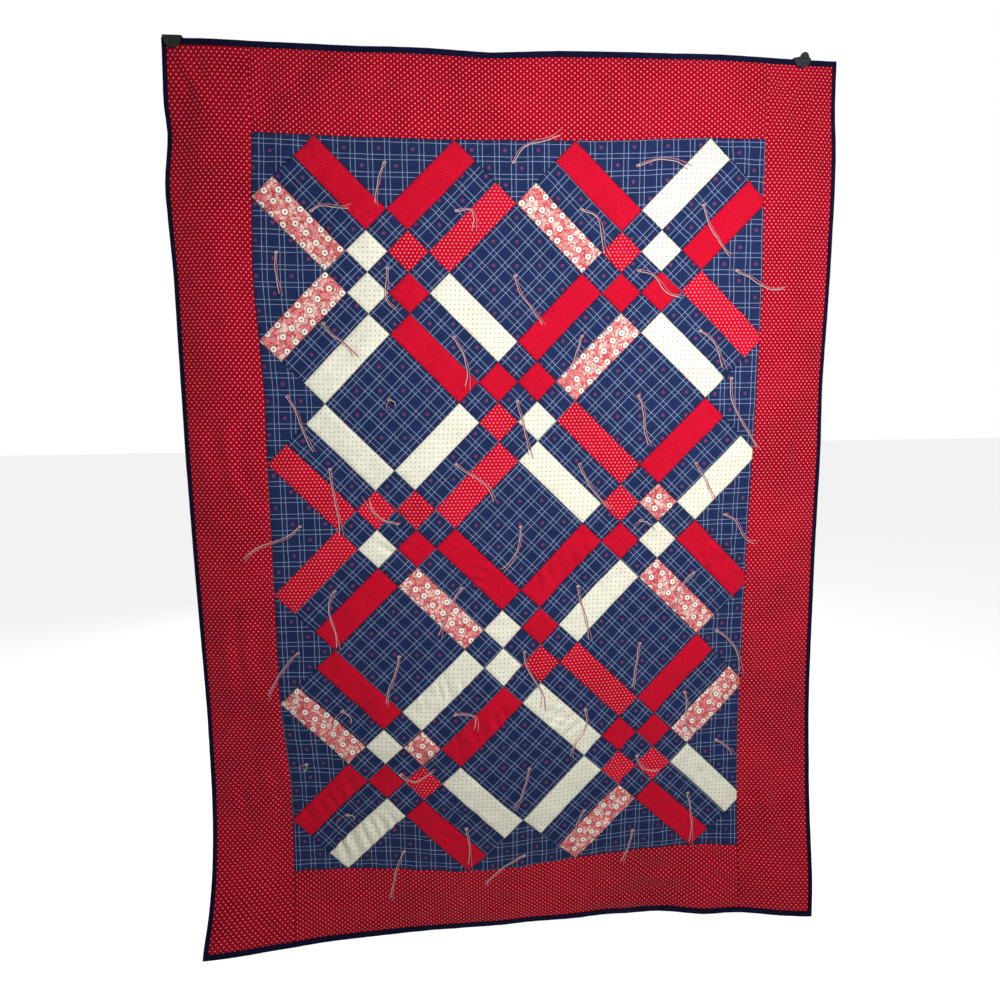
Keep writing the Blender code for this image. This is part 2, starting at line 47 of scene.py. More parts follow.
# Lines of the flat quilt
LEFT_SEAM = -0.5 * COLUMNS * PITCH
RIGHT_SEAM = 0.5 * COLUMNS * PITCH - RIGHT_TRIM
LEFT_FOLD = LEFT_SEAM - BORDER_WIDTH
RIGHT_FOLD = RIGHT_SEAM + BORDER_WIDTH
LEFT_EDGE = LEFT_FOLD - BINDING_WIDTH
RIGHT_EDGE = RIGHT_FOLD + BINDING_WIDTH
TOP_FOLD = BINDING_WIDTH
TOP_SEAM = TOP_FOLD + BORDER_WIDTH
BOTTOM_SEAM = TOP_SEAM + ROWS * PITCH
BOTTOM_FOLD = BOTTOM_SEAM + BORDER_WIDTH
BOTTOM_EDGE = BOTTOM_FOLD + BINDING_WIDTH

# How far the hung cloth strays to the right of its flat place, by depth, in mm
SIDE_COLUMNS = ("down", "left_edge", "left_seam", "right_seam", "right_edge")
SIDE_SHIFTS = (
    (0.000, 0, 6, 7, 2),
    (0.090, -4, 6, 7, 4),
    (0.126, 1, 5, 7, 8),
    (0.200, -9, 1, 6, 9),
    (0.340, -3, -4, 7, 6),
    (0.520, -4, 4, 4, 0),
    (0.620, -5, 2, 1, 2),
    (0.800, -4, 1, -4, 0),
    (1.050, 0, 0, -8, 1),
    (1.200, -1, 11, -9, 3),
    (1.366, -3, 10, -8, -1),
    (1.420, -6, 9, -7, -2),
    (1.490, -16, 8, -6, -5),
)

# How far it strays upward, by place across, in mm
LEVEL_COLUMNS = ("across", "top_edge", "top_seam", "bottom_seam", "bottom_edge")
LEVEL_SHIFTS = (
    (-0.537, 18, 5, 20, 24),
    (-0.410, 12, 4, 18, 10),
    (-0.250, 3, -5, 9, 3),
    (-0.130, 2, -7, -4, 0),
    (-0.040, -2, -6, -7, -1),
    (0.070, 4, -4, 3, 8),
    (0.160, 5, -3, 8, 5),
    (0.250, 5, 1, 10, -6),
    (0.330, 7, 4, 14, 1),
    (0.410, 7, 6, 14, 9),
    (0.527, 7, 6, 14, 16),
)
SOFTEN = 0.018  # a table is read this far to each side, which rounds its corners
SEAM_FADE = 3  # a seam's stray dies out toward the middle with this power

# Soft forms of the hanging cloth: middle, reach and how far it comes forward, in metres
FORM_COLUMNS = ("across", "down", "reach_across", "reach_down", "forward")
FORMS = (
    (-0.560, 1.520, 0.150, 0.170, 0.070),  # lower left corner curls forward
    (0.550, 1.520, 0.160, 0.240, 0.064),  # lower right corner curls forward
    (-0.330, 1.510, 0.130, 0.100, 0.014),  # its curl runs on along the hem
    (-0.050, 1.120, 0.280, 0.280, 0.030),  # belly of the lower half
    (-0.540, 0.000, 0.200, 0.300, -0.024),  # drawn back to the left clip
    (0.530, 0.000, 0.200, 0.300, -0.016),  # drawn back to the right clip
    (-0.555, 0.640, 0.045, 0.420, -0.007),  # left edge turns back
    (0.545, 0.420, 0.045, 0.300, -0.006),  # right edge turns back
    (-0.465, 0.300, 0.050, 0.330, 0.008),  # upright fold in the left border
    (-0.190, 0.420, 0.085, 0.360, 0.006),  # upright swells of the centre
    (0.100, 0.560, 0.080, 0.420, -0.006),
    (0.300, 0.500, 0.085, 0.420, 0.006),
    (0.250, 1.475, 0.045, 0.070, -0.010),  # waves of the hem, right of the middle
    (0.345, 1.470, 0.045, 0.070, 0.008),
    (0.080, 1.480, 0.060, 0.060, 0.008),
)

# Ties. The knot is given from its lattice point, the tail's end from the knot, in mm. The tail bows
# to the right of a hanging tail, or above a sideways one, and its wave turns from that side to the other.
TIE_COLUMNS = ("column", "row", "knot_right", "knot_down", "tail_right", "tail_down", "bow", "wave")
TIES = (
    (1.0, 0.0, 0, 38, -15, 67, -3, 0),
    (2.0, 0.0, -5, 34, 78, -46, 9, 4),
    (3.0, 0.0, -12, 40, 86, 5, 11, 0),
    (0.5, 0.5, -12, 10, 63, -8, 5, 3),
    (1.5, 0.5, 7, 5, 28, 32, 19, 2),
    (2.5, 0.5, 2, 3, 42, 73, 14, 5),
    (3.5, 0.5, -8, 0, 46, 80, -6, 0),
    (0.0, 1.0, 36, -29, 6, 67, -3, 0),
    (1.0, 1.0, 0, -9, 14, 67, -10, 4),
    (2.0, 1.0, -4, 2, 47, 79, -5, -2),
    (3.0, 1.0, -8, -4, 75, 46, 0, 6),
    (4.0, 1.0, -54, -1, 86, 30, -7, 3),
    (0.5, 1.5, -1, -25, 52, 54, 0, -2),
    (1.5, 1.5, -2, -5, 23, 88, 9, 0),
    (2.5, 1.5, 3, -4, -32, 80, 3, 0),
    (3.5, 1.5, -9, -8, 46, 66, 8, 2),
    (0.0, 2.0, 37, -12, 42, 90, 0, 2),
    (2.0, 2.0, -2, -3, 22, 96, 1, 0),
    (3.0, 2.0, -5, -8, 22, 88, 0, 3),
    (4.0, 2.0, -56, -33, 56, 122, -12, -3),
    (0.5, 2.5, -2, 2, 15, 114, 0, -1),
    (1.5, 2.5, -2, -4, 64, 66, 9, -3),
    (2.5, 2.5, 0, 2, 55, 80, -6, 0),
    (3.5, 2.5, -8, 5, 38, 68, 1, 0),
    (0.0, 3.0, 48, -6, -92, 57, -1, 5),
    (1.0, 3.0, 2, -9, -52, -48, 13, 0),
    (2.0, 3.0, 1, 1, -34, 75, 11, 0),
    (4.0, 3.0, -55, -7, 61, 53, 0, 5),
    (0.5, 3.5, -3, 2, 4, 103, -9, -4),
    (1.5, 3.5, 2, -1, -38, 83, -4, 0),
    (2.5, 3.5, -4, 6, 21, 98, 0, -1),
    (3.5, 3.5, -5, -10, -31, 72, -9, 0),
    (0.0, 4.0, 35, 6, -56, 84, -5, 0),
    (1.0, 4.0, -2, 12, -24, 88, 0, 2),
    (2.0, 4.0, 4, 9, 32, 108, 2, -5),
    (3.0, 4.0, 2, 10, -13, 85, 0, 0),
    (4.0, 4.0, -61, -4, 53, 84, 14, 0),
    (1.5, 4.5, -13, 9, 36, 31, 18, -2),
    (2.5, 4.5, 7, 19, -26, 88, 5, 6),
    (3.5, 4.5, -15, 4, 16, 80, -5, 5),
    (1.0, 5.0, -7, 18, 62, -12, -14, -4),
    (2.0, 5.0, 10, 11, -27, 78, 4, 0),
    (3.0, 5.0, 0, 14, 45, 34, -12, 0),
    (4.0, 5.0, -54, -2, 37, 31, 3, 0),
    (1.5, 5.5, 2, 16, 5, 78, 3, 0),
    (2.5, 5.5, 6, 6, -18, 60, -3, 0),
    (3.5, 5.5, -3, -3, 8, 108, 4, 0),
    (1.0, 6.0, -7, -38, -27, 96, -3, 0),
    (2.0, 6.0, 1, -24, -72, 54, -6, 0),
    (3.0, 6.0, -5, -43, -20, 64, 3, 0),
)
# Two ties whose ends fall to both sides of the knot, like an arch
ARCHED_COLUMNS = (*TIE_COLUMNS[:4], "left_right", "left_down", "right_right", "right_down")
ARCHED_TIES = (
    (3.0, 3.0, 2, -2, -13, 17, 31, 19),
    (0.5, 4.5, 2, 6, -20, 28, 18, 24),
)
ARCH_BOW = 0.0045  # each half of an arch bulges upward this much

# The three smallest ties, with both ends short
SMALL_TIES = (
    (1.0, 2.0, -5, -8, -4, 20, 12, 12),
    (0.5, 5.5, -2, -4, -24, 18, 16, 10),
    (0.0, 5.0, 34, 2, -18, 12, -8, 16),
)

# Patches of the pieced centre
STRIP = 0.046  # side of a small square, and width of a sash's strip
SASH = PITCH * math.sqrt(2.0) - 3.0 * STRIP  # length of a sash, and side of a big square
SASH_CELLS = 54  # faces along a sash, across its strip, and along a small triangle's side
STRIP_CELLS = 16
EDGE_CELLS = 48

# Fabrics of the two coloured strips of each sash, row by row, upper strip first
SASHES = (
    ("RF", "RD", "RF", "WR"),
    ("FW", "WR", "RF", "DW"),
    ("WD", "WD", "DW", "RW"),
    ("DR", "RF", "RW", "RF"),
    ("RF", "WR", "DW", "RF"),
    ("RW", "WR", "WF", "WR"),
)
PATCH_NAMES = {
    "P": "patches_plaid",
    "R": "patches_red",
    "D": "patches_red_dot",
    "W": "patches_ivory",
    "F": "patches_floral",
}
# Nine-patches: column, row, fabrics of the upper left, upper right, lower left and lower right squares,
# which stand at these steps toward the lower right and the lower left
NINE_SPOTS = ((-1, 0), (0, -1), (0, 1), (1, 0))
NINES = (
    (1, 1, "WDWR"),
    (3, 1, "DWRR"),
    (2, 2, "RRDW"),
    (1, 3, "DDWR"),
    (3, 3, "DFRW"),
    (2, 4, "WRWD"),
    (1, 5, "WFRD"),
    (3, 5, "RRDD"),
)
BIG_SQUARES = ((2, 1), (1, 2), (3, 2), (2, 3), (1, 4), (3, 4), (2, 5))  # by column and row

# Creases: place on the lattice, direction in degrees from level, half length, half width and depth in
# mm, how many run side by side, and how far apart in mm
CREASES = (
    (0.657, 5.657, 68, 24, 4.5, 1.5, 6, 21),
    (0.343, 5.343, 62, 22, 5.0, 1.0, 5, 24),
    (2.343, 4.657, -38, 26, 4.0, 1.0, 4, 17),
    (2.28, 4.60, 25, 22, 4.0, 0.8, 3, 16),
    (3.657, 3.343, 60, 20, 4.0, 1.1, 5, 20),
    (1.657, 4.657, 70, 22, 4.5, 1.1, 5, 23),
    (1.657, 3.343, 15, 24, 4.5, 0.9, 5, 19),
    (2.343, 3.343, 72, 24, 5.0, 1.0, 5, 22),
    (3.657, 5.343, 80, 18, 4.5, 0.9, 4, 24),
    (3.343, 5.657, 20, 22, 5.0, 0.8, 4, 24),
    (1.343, 4.343, 78, 20, 4.0, 0.7, 4, 22),
    (1.50, 1.343, 30, 24, 5.0, 0.6, 4, 26),
    (1.343, 5.60, 25, 22, 5.0, 0.8, 4, 26),
    (3.343, 0.657, 40, 20, 4.0, 0.5, 3, 24),
    (2.657, 2.343, 70, 20, 5.0, 0.5, 4, 26),
    (2.30, 3.00, 12, 30, 6.0, 0.8, 3, 20),
    (1.00, 3.05, 30, 34, 5.0, 0.9, 4, 20),
    (3.02, 2.95, -30, 30, 5.0, 0.9, 4, 20),
    (1.05, 5.00, 50, 26, 5.0, 0.8, 3, 22),
    (3.00, 5.05, 75, 26, 5.0, 0.8, 4, 22),
    (2.00, 4.00, -15, 26, 5.0, 0.6, 3, 22),
    (2.00, 2.00, 80, 24, 5.0, 0.5, 3, 24),
    (4.20, -0.33, -58, 30, 5.5, 1.1, 5, 16),
    (4.38, -0.10, -66, 34, 6.0, 0.9, 4, 19),
    (-0.42, -0.30, 62, 40, 9.0, 1.2, 3, 26),
    (3.20, 6.33, 16, 44, 9.0, 1.6, 3, 26),
    (3.75, 6.25, 32, 40, 8.0, 1.4, 3, 24),
    (2.60, 6.40, -12, 40, 9.0, 1.1, 3, 27),
    (1.80, 6.25, 10, 40, 8.0, 0.8, 3, 26),
    (0.60, 6.30, -14, 44, 9.0, 0.8, 3, 28),
    (4.25, 5.60, 76, 50, 8.0, 1.0, 3, 24),
    (-0.25, 5.20, 82, 60, 9.0, 0.8, 3, 26),
    (-0.28, 2.40, 86, 80, 11.0, 1.2, 2, 36),
    (-0.24, 4.00, 88, 70, 10.0, 0.9, 2, 34),
    (4.22, 2.40, 88, 70, 10.0, 0.9, 2, 34),
    (4.24, 4.20, 84, 60, 9.0, 0.8, 3, 26),
)

# How far the patches were sewn from an even lattice, in mm: row, then columns 0, 0.5, 1 and so on
SEWN_RIGHT = (
    (0.0, 0, 1, 1, 0, -1, -3, -3, -4, -4),
    (0.5, 0, 1, 1, 0, -1, -3, -4, -4, -4),
    (1.0, 0, 1, 1, 0, -1, -3, -4, -4, -4),
    (1.5, 0, 0, 0, 0, -1, -2, -3, -3, -3),
    (2.0, 0, 0, 0, -1, -1, -1, -2, -2, -2),
    (3.0, 0, 0, 0, 0, -1, -1, 0, 0, 0),
    (4.0, 0, 0, 0, 0, 0, 0, -1, -1, 0),
    (4.5, 0, -1, 0, 0, -1, -1, -2, -1, -1),
    (6.0, 0, 0, -1, -1, -1, -2, -2, -2, -1),
)
SEWN_DOWN = (
    (0.0, 0, 0, 0, 0, 0, 0, 0, 0, 0),
    (0.5, -2, -2, -2, -2, -1, -1, -1, -1, -1),
    (1.0, -2, -3, -3, -3, -2, -2, -2, -2, -2),
    (1.5, -2, -2, -3, -3, -3, -3, -2, -2, -2),
    (2.0, -1, -1, -2, -2, -2, -2, -2, -2, -2),
    (2.5, 0, -1, -1, -1, -1, -1, -1, -1, -1),
    (3.0, 2, 1, 1, 0, 0, 0, 0, 0, 0),
    (4.0, 2, 1, 0, 0, 0, 0, 0, -1, 0),
    (5.5, 0, 0, 0, 0, 1, 1, 0, 0, -1),
    (6.0, 0, 0, 0, 0, 0, 0, 0, 0, 0),
)

# Small unevenness of the front: height, size and seed of its waves
FRONT_RIPPLES = ((0.0010, 0.050, 1), (0.0006, 0.026, 2), (0.00020, 0.013, 3))
BACK_RIPPLE = (0.0004, 0.045, 7)  # the same for the back
RIM_SHARE = 0.15  # share of the unevenness that stays at the quilt's rim
RIM_FLAT = 0.008  # this far in it starts to grow
RIM_REACH = 0.025  # and over this far it grows to the whole
DEEPEST = 0.45  # share of the cloth's thickness that a crease may take
CREASE_GAIN = 4.0  # how much deeper the creases are than the table's own depths
RIDGE_SHARE = 0.55  # height of the ridge beside a furrow, in depths of the furrow
RIDGE_OFF = 1.6  # how far beside it the ridge runs, in widths of the furrow
RIDGE_WIDTH = 1.2

# Seams: how deep they sink, over what reach, and the allowance that lifts the cloth beside them
PATCH_SINK = 0.0011
BORDER_SINK = 0.0010
SEAM_REACH = 0.0028
ALLOWANCE_LIFT = 0.0004
ALLOWANCE_OFF = 0.007
ALLOWANCE_WIDTH = 0.0035

# Border, back and binding
FRONT_LEFT = LEFT_FOLD - 0.0045  # the binding's front seam lies farther out than its back seam
FRONT_RIGHT = RIGHT_FOLD + 0.0045
FRONT_TOP = TOP_FOLD - 0.0025
FRONT_BOTTOM = BOTTOM_FOLD + 0.0012
BORDER_FACE = 0.004  # size of a face of the border strips and the binding
BACK_CELLS = (110, 152)  # faces across and down
BINDING_ROUND = 0.6  # under 1 the fold is squarer than a half circle
BINDING_SWELL = 0.0022  # added to the seam's thickness, then a little more, then uneven by a share
BINDING_PAD = 0.0006
BINDING_WOBBLE = 0.16

# Yarn of the ties
YARN = 0.00066  # radius of a strand
STRANDS_APART = 0.0009  # each from their middle line, then how much that strays
STRAND_PLAY = 0.0008
END_SPREAD = 0.0028  # how far the free ends part
STRAND_CLEAR = 0.0003  # a strand lies this far off the cloth, and lifts by as much as the hump
STRAND_HUMP = 0.0007
KNOT_RADIUS = 0.0021
KNOT_TURNS = 1.3
KNOT_POINTS = 17

# Looks of the cottons and the yarn
WEAVE = 2600.0  # phase of the weave for each metre
THREAD_LENGTHWISE = 60.0
THREAD_ACROSS = 900.0
SEAM_SHADOW = 0.0022  # how far a seam darkens the cloth beside it
PUCKER = 0.0022
COTTON_SHEEN = 0.03
COTTON_SHINE = 0.06
PLAID_PITCH = 0.0268
PLAID_GAP = 0.0074  # between the two lines of a pair
PLAID_LINE = 0.00060  # half width of a line, then of its full colour
PLAID_CORE = 0.00018
HEART_SIZE = 0.0027  # half the width of a heart, about
FLOWER_PITCH = 0.0215
FLOWER_ROW = 0.0185
PETALS = 5.0
# Flower: where each ring ends, where it is full, and its colour: red rim, white petals, brown middle
FLOWER_RINGS = (
    (0.0064, 0.0056, (140, 22, 36)),
    (0.0053, 0.0046, (250, 244, 234)),
    (0.0018, 0.0011, (150, 70, 62)),
)
PLY_LENGTH = 0.0024  # along the yarn from one ridge to the next

# The picture: camera as fitted to the photo's tie lattice, lights, floor
CAMERA_PLACE = (-0.1304, -1.1658, -0.5320)
CAMERA_TURNS = (("Z", -4.79), ("X", -8.19), ("Y", 0.73))  # degrees
SENSOR_WIDTH = 36.0
LENS = 25.2
LIGHTS = (
    ("key", (0.32, -1.02, -0.22), (0.14, 0.0, -0.58), 0.36, 14.2, (1.0, 0.985, 0.96)),
    ("behind", (-0.7, 2.1, 0.3), (0.0, 0.0, -0.7), 1.4, 26.0, (1.0, 1.0, 1.0)),
)
WORLD_LIGHT = 0.15
FLOOR_LEVEL = -1.62
FLOOR_SIZE = 30.0
FLOOR_GLOW = 0.75


# The hanging cloth
def table_value(table, names, wanted, at):
    """One column of a table at a place, read between its rows and softened."""
    places = [row[0] for row in table]
    values = [row[names.index(wanted)] for row in table]
    near = np.interp(at - SOFTEN, places, values) + np.interp(at + SOFTEN, places, values)
    return 0.25 * near + 0.5 * np.interp(at, places, values)


def blend(at, start, end, first, second):
    """The first value at start, the second at end, and straight between."""
    share = np.clip((at - start) / (end - start), 0.0, 1.0)
    return first + (second - first) * share


def side_shift(across, down):
    """How far right of its flat place the cloth hangs."""
    stray = {name: table_value(SIDE_SHIFTS, SIDE_COLUMNS, name, down) for name in SIDE_COLUMNS[1:]}
    left = stray["left_seam"] * np.clip(across / LEFT_SEAM, 0.0, 1.0) ** SEAM_FADE
    right = stray["right_seam"] * np.clip(across / RIGHT_SEAM, 0.0, 1.0) ** SEAM_FADE
    outer_left = blend(across, LEFT_SEAM, LEFT_EDGE, stray["left_seam"], stray["left_edge"])
    outer_right = blend(across, RIGHT_SEAM, RIGHT_EDGE, stray["right_seam"], stray["right_edge"])
    inner = np.where(across < 0.0, left, right)
    inner = np.where(across < LEFT_SEAM, outer_left, inner)
    return MM * np.where(across > RIGHT_SEAM, outer_right, inner)


def level_shift(across, down):
    """How far above its flat place the cloth hangs."""
    stray = {name: table_value(LEVEL_SHIFTS, LEVEL_COLUMNS, name, across) for name in LEVEL_COLUMNS[1:]}
    share = np.clip((down - TOP_SEAM) / (BOTTOM_SEAM - TOP_SEAM), 0.0, 1.0)
    inner = stray["top_seam"] * (1.0 - share) ** SEAM_FADE + stray["bottom_seam"] * share**SEAM_FADE
    above = blend(down, TOP_SEAM, 0.0, stray["top_seam"], stray["top_edge"])
    below = blend(down, BOTTOM_SEAM, BOTTOM_EDGE, stray["bottom_seam"], stray["bottom_edge"])
    inner = np.where(down < TOP_SEAM, above, inner)
    return MM * np.where(down > BOTTOM_SEAM, below, inner)


def forward(across, down):
    """How far the soft forms bring the cloth toward the front."""
    total = np.zeros_like(across)
    for row in FORMS:
        form = dict(zip(FORM_COLUMNS, row))
        away_across = (across - form["across"]) / form["reach_across"]
        away_down = (down - form["down"]) / form["reach_down"]
        total = total + form["forward"] * np.exp(-(away_across**2 + away_down**2))
    return total


def hang(across, down):
    """World places of flat points, as an array of x, y, z."""
    across = np.asarray(across, dtype=float)
    down = np.asarray(down, dtype=float)
    x = across + side_shift(across, down)
    z = level_shift(across, down) - down
    return np.stack([x, -forward(across, down), z], axis=-1)


def lattice_point(column, row):
    """Flat place of a lattice point of the pieced centre."""
    return (column - 0.5 * COLUMNS) * PITCH, TOP_SEAM + row * PITCH


def knot_place(tie):
    """Flat place of one tie's knot."""
    across, down = lattice_point(tie["column"], tie["row"])
    return across + tie["knot_right"] * MM, down + tie["knot_down"] * MM


def tie_places():
    """Flat places of all the knots."""
    rows = [dict(zip(TIE_COLUMNS, row)) for row in TIES]
    rows += [dict(zip(ARCHED_COLUMNS, row)) for row in ARCHED_TIES + SMALL_TIES]
    return np.array([knot_place(row) for row in rows])


def sewn_shift(table, column, row):
    """One of the tables above, read between its places."""
    rows = np.array([line[0] for line in table])
    values = np.array([line[1:] for line in table], dtype=float)
    places = np.linspace(0.0, COLUMNS, values.shape[1])
    spot = np.clip(np.interp(column, places, np.arange(len(places))), 0.0, len(places) - 1.001)
    level = np.clip(np.interp(row, rows, np.arange(len(rows))), 0.0, len(rows) - 1.001)
    i = level.astype(int)
    j = spot.astype(int)
    low = level - i
    right = spot - j
    upper = values[i, j] * (1.0 - right) + values[i, j + 1] * right
    lower = values[i + 1, j] * (1.0 - right) + values[i + 1, j + 1] * right
    return MM * (upper * (1.0 - low) + lower * low)


def sewn(across, down):
    """Where a point of the even lattice was really sewn."""
    column = across / PITCH + 0.5 * COLUMNS
    row = (down - TOP_SEAM) / PITCH
    return across + sewn_shift(SEWN_RIGHT, column, row), down + sewn_shift(SEWN_DOWN, column, row)


def from_sides(across, down, left, right, top, bottom):
    """How far inside the nearest side of a rectangle a flat point lies."""
    return np.minimum.reduce([across - left, right - across, down - top, bottom - down])


def thickness(across, down):
    """Thickness of the filled cloth: thin at the ties, at the seams of the border and at the binding."""
    away = np.full(across.shape, 1.0)
    for knot_across, knot_down in tie_places():
        away = np.minimum(away, np.hypot(across - knot_across, down - knot_down))
    inside = from_sides(across, down, LEFT_SEAM, RIGHT_SEAM, TOP_SEAM, BOTTOM_SEAM)
    by_tie = TIE_THICKNESS + (LOFT - TIE_THICKNESS) * (1.0 - np.exp(-((away / TIE_REACH) ** 2)))
    by_seam = blend(inside, 0.0, TIE_REACH, SEAM_THICKNESS, LOFT)
    centre = np.minimum(by_tie, by_seam)
    swell = np.sin(math.pi * np.clip(-inside / BORDER_WIDTH, 0.0, 1.0))
    border = SEAM_THICKNESS + (LOFT - SEAM_THICKNESS) * swell
    return np.where(inside > 0.0, centre, border)


def ripple(across, down, size, seed, waves=14):
    """Soft uneven waves of about one size, mostly between -1 and 1."""
    rng = np.random.default_rng(seed)
    total = np.zeros_like(across)
    for _ in range(waves):
        angle = rng.uniform(0.0, math.pi)
        length = size * rng.uniform(0.7, 1.5)
        phase = rng.uniform(0.0, 2.0 * math.pi)
        turn = 2.0 * math.pi / length
        total += np.sin(turn * (across * math.cos(angle) + down * math.sin(angle)) + phase)
    return total / math.sqrt(2.0 * waves)


def creases(across, down):
    """Placed creases, each a furrow with a ridge to one side, in metres forward of the cloth."""
    total = np.zeros_like(across)
    for index, (column, row, degrees, length, width, depth, count, apart) in enumerate(CREASES):
        rng = np.random.default_rng(400 + index)
        middle_across, middle_down = lattice_point(column, row)
        angle = math.radians(degrees)
        right = across - middle_across
        low = down - middle_down
        along = right * math.cos(angle) + low * math.sin(angle)
        beside = -right * math.sin(angle) + low * math.cos(angle)
        for step in range(count):
            off = (step - 0.5 * (count - 1)) * apart * MM + rng.uniform(-0.2, 0.2) * apart * MM
            shift = rng.uniform(-0.35, 0.35) * length * MM
            bend = rng.uniform(-6.0, 6.0)
            reach = length * MM * rng.uniform(0.7, 1.15)
            wide = width * MM * rng.uniform(0.9, 1.35)
            tall = CREASE_GAIN * depth * MM * rng.uniform(0.6, 1.15)
            a = along - shift
            b = beside - off - bend * a**2
            fade = np.exp(-((a / reach) ** 2))
            total -= tall * fade * np.exp(-((b / wide) ** 2))
            c = (b - RIDGE_OFF * wide) / (RIDGE_WIDTH * wide)
            total += RIDGE_SHARE * tall * fade * np.exp(-(c**2))
    return total


def relief(across, down):
    """Small unevenness of the front, in metres: faint at the rim, and never through to the back."""
    value = np.zeros_like(across)
    for height, size, seed in FRONT_RIPPLES:
        value += height * ripple(across, down, size, seed)
    value += creases(across, down)
    rim = from_sides(across, down, LEFT_EDGE, RIGHT_EDGE, 0.0, BOTTOM_EDGE)
    value *= RIM_SHARE + (1.0 - RIM_SHARE) * np.clip((rim - RIM_FLAT) / RIM_REACH, 0.0, 1.0)
    return np.maximum(value, -DEEPEST * thickness(across, down))


def normals(across, down):
    """Unit normals of the hanging cloth, toward the front."""
    step = 0.002
    level = hang(across + step, down) - hang(across - step, down)
    upright = hang(across, down + step) - hang(across, down - step)
    normal = np.cross(level, upright)
    normal /= np.linalg.norm(normal, axis=-1, keepdims=True)
    return np.where(normal[..., 1:2] > 0.0, -normal, normal)


def front(across, down, lift=0.0):
    """World places on the front of the quilt, lifted off it by so much."""
    across = np.asarray(across, dtype=float)
    down = np.asarray(down, dtype=float)
    height = 0.5 * thickness(across, down) + relief(across, down) + lift
    return hang(across, down) + normals(across, down) * height[..., None]


def back(across, down):
    """World places on the back."""
    rise, size, seed = BACK_RIPPLE
    height = 0.5 * thickness(across, down) + rise * ripple(across, down, size, seed)
    return hang(across, down) - normals(across, down) * height[..., None]


def seam_lift(edge, depth):
    """The cloth sinks into a seam, and the folded allowance behind it lifts the cloth a little beside it."""
    allowance = ALLOWANCE_LIFT * np.exp(-(((edge - ALLOWANCE_OFF) / ALLOWANCE_WIDTH) ** 2))
    return -depth * np.exp(-edge / SEAM_REACH) + allowance


# Meshes
def make_object(name, places, faces, material, cloth, edge=None):
    """A smooth mesh object with its fabric's own coordinates, and how far each point is from a seam."""
    mesh = bpy.data.meshes.new(name)
    mesh.from_pydata([tuple(place) for place in np.asarray(places)], [], faces)
    mesh.update()
    layer = mesh.attributes.new("cloth", "FLOAT_VECTOR", "POINT")
    layer.data.foreach_set("vector", np.asarray(cloth, dtype=np.float32).ravel())
    if edge is not None:
        layer = mesh.attributes.new("edge", "FLOAT", "POINT")
        layer.data.foreach_set("value", np.asarray(edge, dtype=np.float32))
    mesh.polygons.foreach_set("use_smooth", [True] * len(mesh.polygons))
    mesh.materials.append(material)
    made = bpy.data.objects.new(name, mesh)
    bpy.context.scene.collection.objects.link(made)
    return made


class Patches:
    """Patches of one fabric, gathered into one mesh."""

    def __init__(self):
        self.flat = []
        self.cloth = []
        self.edge = []
        self.faces = []
        self.count = 0

    def add(self, corner, right, low, sides, cells, tag, half=False, straight=False):
        """One patch: its corner, two unit directions, side lengths, and cells along each.

        A half patch is the triangle at its corner. A straight one has its print upright on the quilt.
        """
        nu, nv = cells
        u = np.linspace(0.0, sides[0], nu + 1)
        v = np.linspace(0.0, sides[1], nv + 1)
        uu, vv = np.meshgrid(u, v, indexing="ij")
        across = corner[0] + uu * right[0] + vv * low[0]
        down = corner[1] + uu * right[1] + vv * low[1]
        keep = np.ones_like(uu, dtype=bool)
        if half:
            iu, iv = np.meshgrid(np.arange(nu + 1), np.arange(nv + 1), indexing="ij")
            keep = iu + iv <= nu
            edge = np.minimum.reduce([uu, vv, (sides[0] - uu - vv) / math.sqrt(2.0)])
        else:
            edge = from_sides(uu, vv, 0.0, sides[0], 0.0, sides[1])
        rng = np.random.default_rng(1000 + tag)
        shift = rng.uniform(0.0, 0.3, 2)
        one, other = (across, down) if straight else (uu, vv)
        cloth = np.stack([one + shift[0], other + shift[1], np.full_like(uu, rng.uniform())], axis=-1)
        across, down = sewn(across, down)
        down = np.clip(down, TOP_SEAM, BOTTOM_SEAM)
        across = np.maximum(across, LEFT_SEAM)
        cut = across > RIGHT_SEAM
        edge = np.minimum(edge, np.maximum(RIGHT_SEAM - across, 0.0))
        across = np.minimum(across, RIGHT_SEAM)
        index = np.full(uu.shape, -1)
        index[keep] = self.count + np.arange(keep.sum())
        for i in range(nu):
            for j in range(nv):
                ring = [(i, j), (i + 1, j), (i + 1, j + 1), (i, j + 1)]
                ring = [p for p in ring if keep[p]]
                if len(ring) < 3 or all(cut[p] for p in ring):
                    continue
                self.faces.append(tuple(int(index[p]) for p in ring))
        self.flat.append(np.stack([across[keep], down[keep]], axis=-1))
        self.cloth.append(cloth[keep])
        self.edge.append(np.maximum(edge[keep], 0.0))
        self.count += int(keep.sum())

    def make(self, name, material):
        """The patches as one object on the front of the quilt."""
        flat = np.concatenate(self.flat)
        edge = np.concatenate(self.edge)
        places = front(flat[:, 0], flat[:, 1], seam_lift(edge, PATCH_SINK))
        return make_object(name, places, self.faces, material, np.concatenate(self.cloth), edge)


